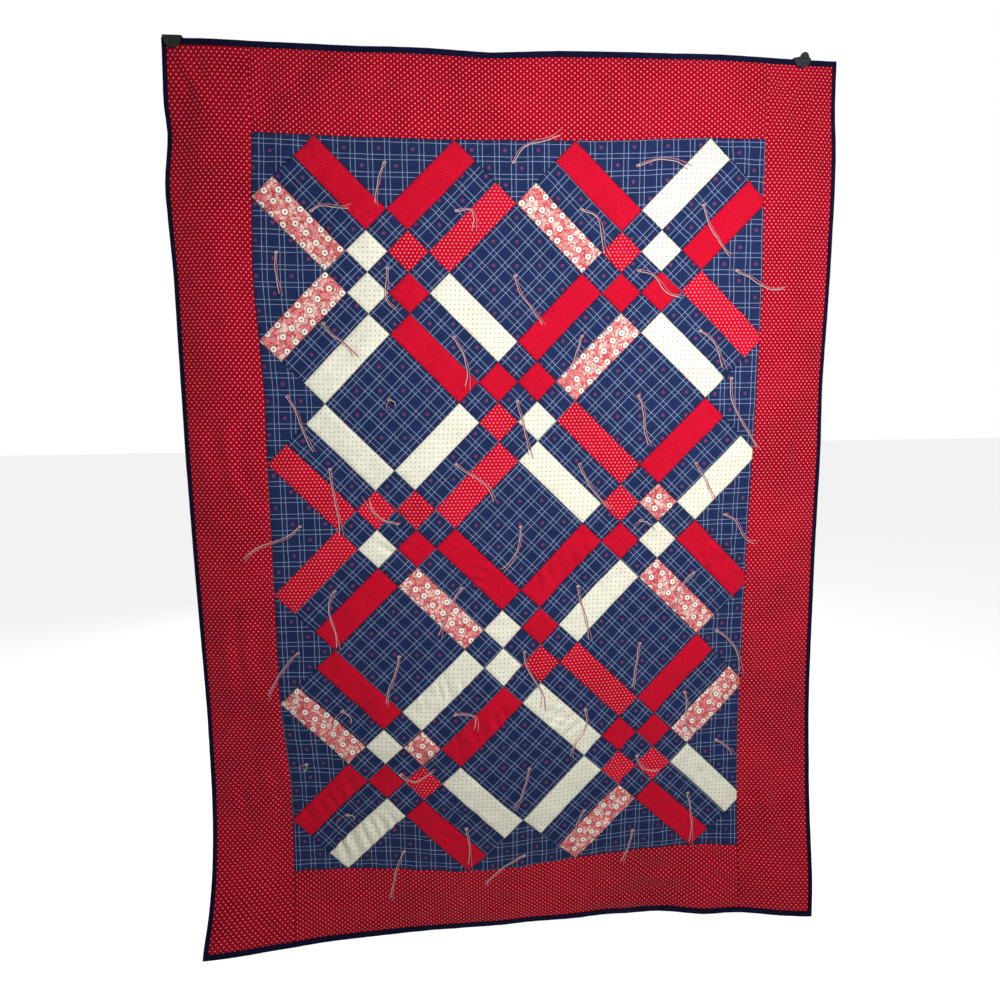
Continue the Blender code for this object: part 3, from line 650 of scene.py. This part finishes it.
def patchwork(fabrics):
    """All patches of the pieced centre, one object for each fabric."""
    root = math.sqrt(0.5)
    lower_right = (root, root)
    upper_right = (root, -root)
    lower_left = (-root, root)
    groups = {name: Patches() for name in fabrics}
    tag = 0

    def place(middle, along, beside, sides, cells, fabric):
        nonlocal tag
        tag += 1
        corner = (
            middle[0] - 0.5 * sides[0] * along[0] - 0.5 * sides[1] * beside[0],
            middle[1] - 0.5 * sides[0] * along[1] - 0.5 * sides[1] * beside[1],
        )
        groups[fabric].add(corner, along, beside, sides, cells, tag, straight=fabric in "DW")

    # Sashes: three strips side by side, the middle one plaid
    for row in range(ROWS):
        for column in range(COLUMNS):
            middle = lattice_point(column + 0.5, row + 0.5)
            upper, lower = SASHES[row][column]
            along, beside = lower_right, lower_left
            if (row + column) % 2 == 1:
                along, beside = upper_right, lower_right
            for fabric, side in ((upper, -1.0), ("P", 0.0), (lower, 1.0)):
                spot = (middle[0] + side * STRIP * beside[0], middle[1] + side * STRIP * beside[1])
                place(spot, along, beside, (SASH, STRIP), (SASH_CELLS, STRIP_CELLS), fabric)
    # Nine-patches: plaid in the middle and at the four points
    for column, row, letters in NINES:
        middle = lattice_point(column, row)
        colours = dict(zip(NINE_SPOTS, letters))
        for i in (-1, 0, 1):
            for j in (-1, 0, 1):
                spot = (
                    middle[0] + STRIP * (i * lower_right[0] + j * lower_left[0]),
                    middle[1] + STRIP * (i * lower_right[1] + j * lower_left[1]),
                )
                fabric = colours.get((i, j), "P")
                place(spot, lower_right, lower_left, (STRIP, STRIP), (STRIP_CELLS, STRIP_CELLS), fabric)
    for column, row in BIG_SQUARES:
        middle = lattice_point(column, row)
        place(middle, lower_right, lower_left, (SASH, SASH), (SASH_CELLS, SASH_CELLS), "P")
    # Triangles along the edges: right angle inward, long side on the seam
    edges = []
    for column in range(1, COLUMNS):
        edges.append((column, 0, (0, 1)))
        edges.append((column, ROWS, (0, -1)))
    for row in range(1, ROWS):
        edges.append((0, row, (1, 0)))
        edges.append((COLUMNS, row, (-1, 0)))
    for column, row, inward in edges:
        tag += 1
        big = (column + row) % 2 == 1
        side = SASH if big else 3.0 * STRIP
        cells = SASH_CELLS if big else EDGE_CELLS
        middle = lattice_point(column, row)
        tip = (middle[0] + inward[0] * side * root, middle[1] + inward[1] * side * root)
        one = (root * (-inward[0] + inward[1]), root * (-inward[1] - inward[0]))
        other = (root * (-inward[0] - inward[1]), root * (-inward[1] + inward[0]))
        groups["P"].add(tip, one, other, (side, side), (cells, cells), tag, half=True, straight=True)
    for column, row in ((0, 0), (COLUMNS, 0), (0, ROWS), (COLUMNS, ROWS)):
        tag += 1
        level = (1.0 if column == 0 else -1.0, 0.0)
        upright = (0.0, 1.0 if row == 0 else -1.0)
        side = 3.0 * STRIP * root
        corner = lattice_point(column, row)
        cells = (EDGE_CELLS, EDGE_CELLS)
        groups["P"].add(corner, level, upright, (side, side), cells, tag, half=True, straight=True)
    return [groups[key].make(PATCH_NAMES[key], fabrics[key]) for key in fabrics]


def row_faces(rows, points, closed=False):
    """Faces between rows of points, with the last row joined to the first where they close."""
    faces = []
    for i in range(rows if closed else rows - 1):
        here = i * points
        there = (i + 1) % rows * points
        for k in range(points - 1):
            faces.append((here + k, there + k, there + k + 1, here + k + 1))
    return faces


def grid(left, right, top, bottom, count_across, count_down):
    """Flat points of a rectangle in rows and columns, and its faces."""
    sides = (np.linspace(left, right, count_across + 1), np.linspace(top, bottom, count_down + 1))
    across, down = np.meshgrid(*sides, indexing="ij")
    return across.ravel(), down.ravel(), row_faces(count_across + 1, count_down + 1)


def border_strips(material):
    """The four dotted strips as one mesh each, their edges sunk at the seams."""
    strips = (
        ("border_strip_left", FRONT_LEFT, LEFT_SEAM, FRONT_TOP, FRONT_BOTTOM),
        ("border_strip_right", RIGHT_SEAM, FRONT_RIGHT, FRONT_TOP, FRONT_BOTTOM),
        ("border_strip_top", LEFT_SEAM, RIGHT_SEAM, FRONT_TOP, TOP_SEAM),
        ("border_strip_bottom", LEFT_SEAM, RIGHT_SEAM, BOTTOM_SEAM, FRONT_BOTTOM),
    )
    made = []
    for index, (name, left, right, top, bottom) in enumerate(strips):
        counts = (round((right - left) / BORDER_FACE), round((bottom - top) / BORDER_FACE))
        across, down, faces = grid(left, right, top, bottom, *counts)
        edge = from_sides(across, down, left, right, top, bottom)
        # the top and bottom strips were cut the other way of the cloth
        one, other = (across, down) if "left" in name or "right" in name else (down, across)
        cloth = np.stack([one + 0.0031 * index, other + 0.0023 * index, np.zeros_like(across)], axis=-1)
        places = front(across, down, seam_lift(edge, BORDER_SINK))
        made.append(make_object(name, places, faces, material, cloth, edge))
    return made


def backing(material):
    """The plain back of the quilt, one sheet out to the binding."""
    across, down, faces = grid(LEFT_FOLD, RIGHT_FOLD, TOP_FOLD, BOTTOM_FOLD, *BACK_CELLS)
    cloth = np.stack([across, down, np.zeros_like(across)], axis=-1)
    return make_object("backing", back(across, down), faces, material, cloth)


def rectangle(left, right, top, bottom):
    """The four corners of a flat rectangle, clockwise from the upper left."""
    return np.array([(left, top), (right, top), (right, bottom), (left, bottom)])


def binding(material):
    """The folded strip round the edge: a flattened tube section swept round the four sides."""
    outlines = (
        rectangle(LEFT_EDGE, RIGHT_EDGE, 0.0, BOTTOM_EDGE),
        rectangle(FRONT_LEFT, FRONT_RIGHT, FRONT_TOP, FRONT_BOTTOM),
        rectangle(LEFT_FOLD, RIGHT_FOLD, TOP_FOLD, BOTTOM_FOLD),
    )
    profile = 11  # points from the front seam round the edge to the back seam
    places = []
    cloth = []
    edges = []
    length = 0.0
    for side in range(4):
        after = (side + 1) % 4
        span = np.linalg.norm(outlines[0][after] - outlines[0][side])
        count = round(span / BORDER_FACE)
        for step in range(count):
            share = step / count
            outer, before, behind = (line[side] + (line[after] - line[side]) * share for line in outlines)
            for k in range(profile):
                angle = math.pi * k / (profile - 1)
                close = before if 2 * k < profile else behind
                flat = close + (outer - close) * math.sin(angle) ** BINDING_ROUND
                places.append((flat[0], flat[1], math.cos(angle)))
                cloth.append((length + span * share, k * 0.002, 0.0))
                edges.append(0.5 * BINDING_WIDTH * (k / (profile - 1)))
        length += span
    across, down, face = np.array(places).T
    wobble = 1.0 + BINDING_WOBBLE * ripple(across, down, 0.035, 11)
    half = 0.5 * (SEAM_THICKNESS + BINDING_SWELL * np.sin(math.pi * np.abs(face)) + BINDING_PAD) * wobble
    height = half * np.sign(face) * np.abs(face) ** 0.5
    world = hang(across, down) + normals(across, down) * height[:, None]
    faces = row_faces(len(places) // profile, profile, closed=True)
    return make_object("binding_strip", world, faces, material, cloth, edges)


def tube(points, radii, sides=7):
    """Places and faces of a round tube along world points, and its own coordinates."""
    points = np.asarray(points, dtype=float)
    tangents = np.gradient(points, axis=0)
    tangents /= np.linalg.norm(tangents, axis=1, keepdims=True) + 1e-12
    beside = np.cross(tangents, np.array([0.05, -1.0, 0.1]))
    beside /= np.linalg.norm(beside, axis=1, keepdims=True) + 1e-12
    above = np.cross(beside, tangents)
    steps = np.concatenate([[0.0], np.cumsum(np.linalg.norm(np.diff(points, axis=0), axis=1))])
    places = []
    cloth = []
    for index, point in enumerate(points):
        for k in range(sides):
            angle = 2.0 * math.pi * k / sides
            ring = beside[index] * math.cos(angle) + above[index] * math.sin(angle)
            places.append(point + ring * radii[index])
            cloth.append((steps[index], k / sides, 0.0))
    faces = []
    for index in range(len(points) - 1):
        for k in range(sides):
            a = index * sides + k
            b = index * sides + (k + 1) % sides
            faces.append((a, b, b + sides, a + sides))
    faces.append(tuple(range(sides))[::-1])
    last = (len(points) - 1) * sides
    faces.append(tuple(range(last, last + sides)))
    return places, faces, cloth


def tail_line(start, reach, bow, wave, share):
    """Flat points of a tail at shares of the way from its knot to its end."""
    length = math.hypot(*reach) + 1e-9
    sideways = (reach[1] / length, -reach[0] / length)
    stray = bow * 4.0 * share * (1.0 - share) + wave * np.sin(2.0 * math.pi * share)
    ways = [start[i] + reach[i] * share + sideways[i] * stray for i in (0, 1)]
    return np.stack(ways, axis=-1)


def strand(which, number, knot, reach, bow, wave, turn, rng):
    """One of a tie's two strands: its turns in the knot, over and under, then its free end on the cloth."""
    stretch = 1.0 - 0.09 * which * rng.uniform(0.2, 1.0)
    steps = max(10, round(math.hypot(*reach) * stretch / 0.0025))
    share = np.linspace(0.0, 1.0, steps + 1)
    flat = tail_line(knot, (reach[0] * stretch, reach[1] * stretch), bow, wave, share)
    heading = np.gradient(flat, axis=0)
    heading /= np.linalg.norm(heading, axis=1, keepdims=True) + 1e-12
    sideways = np.stack([-heading[:, 1], heading[:, 0]], axis=-1)
    play = np.sin(share * rng.uniform(5.0, 9.0) + rng.uniform(0.0, 6.0)) ** 2
    spread = END_SPREAD * rng.uniform(0.2, 1.0) * np.clip((share - 0.7) / 0.3, 0.0, 1.0) ** 1.5
    apart = (STRANDS_APART + STRAND_PLAY * play + spread) * (-1.0 if which == 0 else 1.0)
    flat = flat + sideways * apart[:, None]
    lift = YARN + STRAND_CLEAR + STRAND_HUMP * np.abs(np.sin(share * 7.0 + which * 1.6 + number))
    tail = front(flat[:, 0], flat[:, 1], lift)
    angles = np.linspace(0.0, 2.0 * math.pi * KNOT_TURNS, KNOT_POINTS + 1)[:-1] + turn + which * math.pi
    radius = KNOT_RADIUS + 0.0004 * np.cos(2.0 * angles)
    right = knot[0] + radius * np.cos(angles)
    low = knot[1] + 0.85 * radius * np.sin(angles)
    raised = 0.0013 + 0.0009 * np.sin(2.0 * angles + which * math.pi) + 0.0009 * which
    path = np.concatenate([front(right, low, raised), tail[1:]])
    radii = np.full(len(path), YARN)
    radii[:KNOT_POINTS] *= 1.15
    radii[0] *= 0.5
    radii[-1] *= 0.55
    return tube(path, radii)


def yarn_ties(pink, cream):
    """Two strands for each tie, all of one colour in one mesh."""
    tails = []
    for row in TIES:
        tie = dict(zip(TIE_COLUMNS, row))
        reach = (tie["tail_right"] * MM, tie["tail_down"] * MM)
        tails.append((knot_place(tie), (reach,), tie["bow"] * MM, tie["wave"] * MM))
    for row in ARCHED_TIES + SMALL_TIES:
        tie = dict(zip(ARCHED_COLUMNS, row))
        left = (tie["left_right"] * MM, tie["left_down"] * MM)
        right = (tie["right_right"] * MM, tie["right_down"] * MM)
        tails.append((knot_place(tie), (left, right), ARCH_BOW, 0.0))
    strands = ([], [])
    for number, (knot, reaches, bow, wave) in enumerate(tails):
        rng = np.random.default_rng(7000 + number)
        turn = rng.uniform(0.0, 2.0 * math.pi)
        for which in (0, 1):
            # the two ends of an arch bow to opposite sides
            own_bow = -bow if len(reaches) == 2 and which == 0 else bow
            reach = reaches[which % len(reaches)]
            strands[which].append(strand(which, number, knot, reach, own_bow, wave, turn, rng))
    made = []
    for tubes, name, material in zip(strands, ("ties_pink", "ties_cream"), (pink, cream)):
        places = []
        faces = []
        cloth = []
        for tube_places, tube_faces, tube_cloth in tubes:
            first = len(places)
            places += tube_places
            cloth += tube_cloth
            faces += [tuple(first + index for index in face) for face in tube_faces]
        made.append(make_object(name, places, faces, material, cloth))
    return made


# Materials
def linear(red, green, blue):
    """A colour given in the photo's own scale of 0 to 255, made linear."""
    out = []
    for value in (red, green, blue):
        share = value / 255.0
        out.append(share / 12.92 if share <= 0.04045 else ((share + 0.055) / 1.055) ** 2.4)
    return (*out, 1.0)


class Shade:
    """Short names for the nodes of one material."""

    def __init__(self, name):
        self.material = bpy.data.materials.new(name)
        self.material.use_nodes = True
        self.tree = self.material.node_tree
        self.shader = self.tree.nodes["Principled BSDF"]

    def node(self, kind, inputs=(), **settings):
        made = self.tree.nodes.new(kind)
        for key, value in settings.items():
            setattr(made, key, value)
        for key, value in dict(inputs).items():
            self.feed(made.inputs[key], value)
        return made

    def feed(self, socket, value):
        """Links a socket to another one, or gives it a value."""
        if isinstance(value, bpy.types.NodeSocket):
            self.tree.links.new(value, socket)
        else:
            socket.default_value = value

    def surface(self, **inputs):
        """Feeds inputs of the shader, named with _ for a space."""
        for name, value in inputs.items():
            self.feed(self.shader.inputs[name.replace("_", " ")], value)

    def bump(self, strength, height):
        """Raises the surface by a height in metres."""
        made = self.node("ShaderNodeBump", {"Strength": strength, "Distance": 1.0, "Height": height})
        self.surface(Normal=made.outputs[0])

    def math(self, operation, *values):
        made = self.tree.nodes.new("ShaderNodeMath")
        made.operation = operation
        for index, value in enumerate(values):
            self.feed(made.inputs[index], value)
        return made.outputs[0]

    def plus(self, first, second):
        return self.math("ADD", first, second)

    def minus(self, first, second):
        return self.math("SUBTRACT", first, second)

    def times(self, first, second):
        return self.math("MULTIPLY", first, second)

    def length(self, u, v):
        return self.math("SQRT", self.plus(self.times(u, u), self.times(v, v)))

    def mix(self, share, first, second):
        """The first colour at a share of 0, the second at 1."""
        made = self.tree.nodes.new("ShaderNodeMix")
        made.data_type = "RGBA"
        self.feed(made.inputs[0], share)
        self.feed(made.inputs[6], first)
        self.feed(made.inputs[7], second)
        return made.outputs[2]

    def scaled(self, colour, tone):
        return self.node("ShaderNodeVectorMath", {0: colour, "Scale": tone}, operation="SCALE").outputs[0]

    def split(self, vector):
        made = self.node("ShaderNodeSeparateXYZ", {0: vector})
        return made.outputs[0], made.outputs[1], made.outputs[2]

    def join(self, x, y, z=0.0):
        return self.node("ShaderNodeCombineXYZ", {0: x, 1: y, 2: z}).outputs[0]

    def step(self, value, low, high):
        """From 0 at low to 1 at high, smoothly."""
        ends = {0: value, 1: low, 2: high, 3: 0.0, 4: 1.0}
        return self.node("ShaderNodeMapRange", ends, interpolation_type="SMOOTHSTEP").outputs[0]

    def noise(self, vector, scale, detail=2.0, rough=0.5):
        inputs = {"Vector": vector, "Scale": scale, "Detail": detail, "Roughness": rough}
        return self.node("ShaderNodeTexNoise", inputs).outputs[0]

    def attribute(self, name, output):
        return self.node("ShaderNodeAttribute", attribute_name=name).outputs[output]

    def cloth(self):
        """The fabric's own coordinates, in metres, whole and split."""
        place = self.attribute("cloth", "Vector")
        return place, *self.split(place)

    def place(self):
        """Coordinates of the object itself."""
        return self.node("ShaderNodeTexCoord").outputs["Object"]


def threads(shade, x, y, z):
    """Uneven threads both ways, from 0 to 2."""
    slub = shade.noise(shade.join(shade.times(x, THREAD_LENGTHWISE), shade.times(y, THREAD_ACROSS), z), 1.0)
    cross = shade.noise(shade.join(shade.times(x, THREAD_ACROSS), shade.times(y, THREAD_LENGTHWISE), z), 1.0)
    return shade.plus(slub, cross)


def woven(shade, colour, seam_shade=0.50):
    """Cotton: threads both ways, unevenness of colour, painted shade in the sunk seams, small puckers."""
    cloth, x, y, z = shade.cloth()
    warp = shade.math("SINE", shade.times(x, WEAVE))
    weft = shade.math("SINE", shade.times(y, WEAVE))
    seen = threads(shade, x, y, z)
    mottle = shade.noise(cloth, 18.0, 3.0)
    tone = shade.plus(shade.plus(shade.times(seen, 0.16), shade.times(mottle, 0.22)), 0.73)
    # painted shade: the cloth is darker within SEAM_SHADOW of a seam, where it sinks into the seam
    seam = shade.step(shade.attribute("edge", "Fac"), 0.0, SEAM_SHADOW)
    painted_seam_shade = shade.plus(shade.times(seam, seam_shade), 1.0 - seam_shade)
    rough = shade.plus(shade.times(shade.minus(seen, 1.0), 0.08), 0.9)
    shade.surface(Base_Color=shade.scaled(colour, shade.times(tone, painted_seam_shade)), Roughness=rough)
    shade.surface(Sheen_Weight=COTTON_SHEEN, Sheen_Roughness=0.6, Specular_IOR_Level=COTTON_SHINE)
    height = shade.plus(shade.times(shade.plus(warp, weft), 0.00003), shade.times(seen, 0.00018))
    height = shade.plus(height, shade.times(shade.noise(cloth, 240.0), 0.0004))
    height = shade.plus(height, shade.times(shade.noise(cloth, 75.0, 2.0, 0.55), PUCKER))
    shade.bump(0.30, height)
    return shade.material


def cell_place(shade, x, y, pitch_x, pitch_y, stagger):
    """Where a point lies in its cell, from the cell's middle, and the cell's numbers."""
    row = shade.math("FLOOR", shade.math("DIVIDE", y, pitch_y))
    moved = shade.plus(shade.math("DIVIDE", x, pitch_x), shade.times(row, stagger))
    column = shade.math("FLOOR", moved)
    u = shade.times(shade.minus(shade.minus(moved, column), 0.5), pitch_x)
    v = shade.minus(y, shade.times(shade.plus(row, 0.5), pitch_y))
    return u, v, column, row


def dots(shade, x, y, pitch, row, stagger, radius, soft):
    """1 on round dots in rows, 0 between them."""
    u, v, _, _ = cell_place(shade, x, y, pitch, row, stagger)
    return shade.step(shade.length(u, v), radius + soft, radius - soft)


def red_pin_dot(name, base, dark, dot, pitch, row, radius):
    """Red with small pale dots in staggered rows, over random patches of a darker red that are painted shade.
    """
    shade = Shade(name)
    cloth, x, y, _ = shade.cloth()
    mask = shade.times(dots(shade, x, y, pitch, row, 0.5, radius, 0.00035), 0.95)
    # painted shade: random patches of the darker red
    shadow = shade.step(shade.noise(cloth, 7.0), 0.35, 0.7)
    ground = shade.mix(shadow, linear(*base), linear(*dark))
    return woven(shade, shade.mix(mask, ground, linear(*dot)), seam_shade=0.25)


def red_print():
    """Red with a fine darker print that reads as plain."""
    shade = Shade("red_print")
    cloth, x, y, _ = shade.cloth()
    mask = dots(shade, x, y, 0.0042, 0.0030, 0.5, 0.00085, 0.00035)
    speck = shade.step(shade.noise(cloth, 520.0, 1.0), 0.55, 0.68)
    colour = shade.mix(shade.times(mask, 0.75), linear(208, 10, 46), linear(140, 4, 26))
    return woven(shade, shade.mix(shade.times(speck, 0.30), colour, linear(232, 48, 72)))


def ivory_dot():
    """Ivory with tiny dots, grey-green or brown."""
    shade = Shade("ivory_dot")
    cloth, x, y, _ = shade.cloth()
    mask = dots(shade, x, y, 0.0075, 0.0076, 0.06, 0.00085, 0.0003)
    brown = shade.step(shade.noise(cloth, 130.0, 0.0), 0.45, 0.55)
    dot = shade.mix(brown, linear(78, 90, 70), linear(112, 72, 62))
    return woven(shade, shade.mix(shade.times(mask, 0.95), linear(240, 240, 222), dot))


def floral():
    """Salmon with a red scribble and white round flowers."""
    shade = Shade("floral")
    cloth, x, y, _ = shade.cloth()
    scribble = shade.noise(cloth, 120.0, 3.0, 0.6)
    lines = shade.step(shade.math("ABSOLUTE", shade.minus(scribble, 0.5)), 0.060, 0.015)
    blotch = shade.step(shade.noise(cloth, 75.0), 0.48, 0.56)
    colour = shade.mix(blotch, linear(232, 140, 142), linear(250, 214, 204))
    colour = shade.mix(shade.times(lines, 0.85), colour, linear(184, 24, 44))
    u, v, column, row = cell_place(shade, x, y, FLOWER_PITCH, FLOWER_ROW, 0.5)
    chance = shade.node("ShaderNodeTexWhiteNoise", {"Vector": shade.join(column, row, 3.0)}).outputs["Color"]
    jitter_x, jitter_y, _ = shade.split(chance)
    u = shade.plus(u, shade.times(shade.minus(jitter_x, 0.5), 0.005))
    v = shade.plus(v, shade.times(shade.minus(jitter_y, 0.5), 0.004))
    angle = shade.math("ARCTAN2", v, u)
    petal = shade.times(shade.math("COSINE", shade.times(angle, PETALS)), 0.00025)
    away = shade.plus(shade.length(u, v), petal)
    for outer, inner, ring in FLOWER_RINGS:
        colour = shade.mix(shade.step(away, outer, inner), colour, linear(*ring))
    return woven(shade, colour)


def plaid():
    """Navy with pairs of thin pale lines both ways and small hearts in every other cell."""
    shade = Shade("navy_plaid")
    _, x, y, _ = shade.cloth()

    def pair(value):
        place = shade.times(shade.math("FRACT", shade.math("DIVIDE", value, PLAID_PITCH)), PLAID_PITCH)
        seen = []
        for line in (0.5 * PLAID_GAP, PLAID_PITCH - 0.5 * PLAID_GAP):
            away = shade.math("ABSOLUTE", shade.minus(place, line))
            seen.append(shade.step(away, PLAID_LINE, PLAID_CORE))
        return shade.math("MAXIMUM", *seen)

    colour = shade.mix(shade.times(pair(y), 0.62), linear(30, 45, 86), linear(170, 188, 228))
    colour = shade.mix(shade.times(pair(x), 0.62), colour, linear(178, 194, 232))
    # hearts stand between the pairs, each turned by quarter turns
    u, v, column, row = cell_place(shade, x, y, PLAID_PITCH, PLAID_PITCH, 0.0)
    parity = shade.math("FLOORED_MODULO", shade.plus(column, row), 2.0)
    turn = shade.node("ShaderNodeTexWhiteNoise", {"Vector": shade.join(column, row, 5.0)}).outputs["Value"]
    angle = shade.times(shade.math("FLOOR", shade.times(turn, 4.0)), 0.5 * math.pi)
    cosine = shade.math("COSINE", angle)
    sine = shade.math("SINE", angle)
    hx = shade.times(shade.minus(shade.times(u, cosine), shade.times(v, sine)), 1.0 / HEART_SIZE)
    hy = shade.times(shade.plus(shade.times(u, sine), shade.times(v, cosine)), 1.0 / HEART_SIZE)
    hy = shade.plus(hy, 0.15)
    # the heart curve: (x squared + y squared - 1) cubed less x squared times y cubed
    xx = shade.times(hx, hx)
    yy = shade.times(hy, hy)
    body = shade.minus(shade.plus(xx, yy), 1.0)
    cube = shade.times(shade.times(body, body), body)
    lobes = shade.times(xx, shade.times(yy, hy))
    heart = shade.times(shade.step(shade.minus(cube, lobes), 0.05, -0.05), parity)
    return woven(shade, shade.mix(shade.times(heart, 0.85), colour, linear(122, 60, 104)))


def plain_cotton(name, colour, second):
    """Unprinted cotton that strays between two colours."""
    shade = Shade(name)
    cloth, x, y, z = shade.cloth()
    mixed = shade.mix(shade.noise(cloth, 40.0, 3.0), linear(*colour), linear(*second))
    seen = threads(shade, x, y, z)
    tone = shade.plus(shade.times(seen, 0.30), 0.70)
    shade.surface(Base_Color=shade.scaled(mixed, tone), Roughness=0.88)
    shade.surface(Sheen_Weight=COTTON_SHEEN, Specular_IOR_Level=COTTON_SHINE)
    shade.bump(0.3, shade.times(seen, 0.0003))
    return shade.material


def yarn(name, colour, second):
    """Plied yarn: slanting ridges, fuzz, and a second colour that is partly uneven dye and partly painted
    shade in the grooves between the plies.
    """
    shade = Shade(name)
    _, along, around, _ = shade.cloth()
    slant = shade.plus(shade.times(along, 2.0 * math.pi / PLY_LENGTH), shade.times(around, 4.0 * math.pi))
    ply = shade.plus(shade.times(shade.math("SINE", slant), 0.5), 0.5)
    blotch = shade.noise(shade.join(shade.times(along, 120.0), around), 1.0)
    # the second colour falls in the grooves between plies as painted shade, and in the blotches as uneven dye
    share = shade.times(shade.plus(ply, blotch), 0.5)
    shade.surface(Base_Color=shade.mix(share, linear(*second), linear(*colour)))
    shade.surface(Roughness=0.92, Sheen_Weight=0.15)
    shade.bump(0.6, shade.times(ply, 0.0004))
    return shade.material


def clip_plastic():
    """Near-black plastic with faint wear."""
    shade = Shade("clip_plastic_worn")
    wear = shade.noise(shade.place(), 260.0, 3.0)
    shade.surface(Base_Color=shade.mix(wear, linear(24, 27, 26), linear(48, 54, 52)))
    shade.surface(Roughness=shade.plus(shade.times(wear, 0.2), 0.35))
    shade.bump(0.15, shade.times(wear, 0.0004))
    return shade.material


def floor_material():
    """Pale floor, seen paler than it lights."""
    shade = Shade("pale_floor")
    pale = shade.mix(shade.noise(shade.place(), 3.0), (0.90, 0.90, 0.90, 1.0), (0.94, 0.94, 0.94, 1.0))
    seen = shade.node("ShaderNodeLightPath").outputs["Is Camera Ray"]
    shade.surface(Base_Color=pale, Roughness=0.9, Emission_Color=(1.0, 1.0, 1.0, 1.0))
    shade.surface(Emission_Strength=shade.times(seen, FLOOR_GLOW))
    return shade.material


# The scene
def add_light(name, place, target, size, power, colour):
    """A round lamp that shines from one place to another."""
    lamp = bpy.data.lights.new(name, "AREA")
    lamp.shape = "DISK"
    lamp.size = size
    lamp.energy = power
    lamp.color = colour
    made = bpy.data.objects.new(name, lamp)
    bpy.context.scene.collection.objects.link(made)
    made.location = place
    direction = Vector(target) - Vector(place)
    made.rotation_euler = direction.to_track_quat("-Z", "Y").to_euler()


def set_camera():
    """The photo's own place and turn: a little left of the quilt's middle, and tipped down."""
    turn = Matrix.Identity(3)
    for axis, degrees in CAMERA_TURNS:
        turn = turn @ Matrix.Rotation(math.radians(degrees), 3, axis)
    right, ahead, up = (turn.col[index] for index in range(3))
    camera_data = bpy.data.cameras.new("camera")
    camera_data.sensor_width = SENSOR_WIDTH
    camera_data.lens = LENS
    camera_data.clip_start = 0.01
    made = bpy.data.objects.new("camera", camera_data)
    bpy.context.scene.collection.objects.link(made)
    matrix = Matrix.Identity(4)
    for row in range(3):
        matrix[row][0] = right[row]
        matrix[row][1] = up[row]
        matrix[row][2] = -ahead[row]
    matrix.translation = Vector(CAMERA_PLACE)
    made.matrix_world = matrix
    bpy.context.scene.camera = made


def set_world():
    """Pale all round, and seen brighter than it lights."""
    world = bpy.data.worlds.new("pale")
    world.use_nodes = True
    tree = world.node_tree
    ground = tree.nodes["Background"]
    ground.inputs["Color"].default_value = (1.0, 1.0, 1.0, 1.0)
    seen = tree.nodes.new("ShaderNodeLightPath").outputs["Is Camera Ray"]
    strength = tree.nodes.new("ShaderNodeMapRange")
    strength.inputs["To Min"].default_value = WORLD_LIGHT
    strength.inputs["To Max"].default_value = 1.0
    tree.links.new(seen, strength.inputs["Value"])
    tree.links.new(strength.outputs[0], ground.inputs["Strength"])
    bpy.context.scene.world = world


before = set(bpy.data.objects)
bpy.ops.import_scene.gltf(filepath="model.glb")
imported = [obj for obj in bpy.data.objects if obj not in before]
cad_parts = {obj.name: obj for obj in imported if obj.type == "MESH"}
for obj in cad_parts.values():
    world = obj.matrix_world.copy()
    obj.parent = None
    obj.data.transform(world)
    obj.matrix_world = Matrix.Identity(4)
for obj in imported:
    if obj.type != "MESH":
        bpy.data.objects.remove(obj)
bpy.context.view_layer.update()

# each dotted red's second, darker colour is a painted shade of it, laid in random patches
border_cloth = red_pin_dot("red_pin_dot", (168, 2, 32), (150, 0, 26), (255, 136, 148), 0.0075, 0.0050, 0.0011)
patch_cloths = {
    "P": plaid(),
    "R": red_print(),
    "D": red_pin_dot("red_cream_dot", (206, 8, 44), (190, 4, 36), (255, 142, 152), 0.0066, 0.0055, 0.0012),
    "W": ivory_dot(),
    "F": floral(),
}
navy = plain_cotton("navy_cotton", (11, 14, 42), (17, 21, 54))
navy_back = plain_cotton("navy_backing", (18, 24, 60), (26, 34, 78))
# each yarn's second, darker colour is partly uneven dye and partly painted shade between its plies
pink = yarn("yarn_pink", (232, 160, 172), (150, 70, 88))
cream = yarn("yarn_cream", (246, 226, 220), (190, 150, 150))

patches = patchwork(patch_cloths)
strips = border_strips(border_cloth)
back_sheet = backing(navy_back)
edge_strip = binding(navy)
ties = yarn_ties(pink, cream)

for made in [*patches, *strips, back_sheet, edge_strip, *ties]:
    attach(made, "root")
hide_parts("pieced_centre")
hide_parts("border_left")
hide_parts("border_right")
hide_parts("border_top")
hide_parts("border_bottom")
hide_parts("binding")
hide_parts(*[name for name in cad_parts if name.startswith("tie_")])
plastic = clip_plastic()
for name in ("clip_left", "clip_right"):
    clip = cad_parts[name]
    clip.data.materials.clear()
    clip.data.materials.append(plastic)

bpy.ops.mesh.primitive_plane_add(size=FLOOR_SIZE, location=(0.0, 0.0, FLOOR_LEVEL))
floor = bpy.context.active_object
floor.name = "floor"
floor.data.materials.append(floor_material())
set_world()
set_camera()
for light in LIGHTS:
    add_light(*light)
bpy.context.scene.view_settings.view_transform = "Standard"
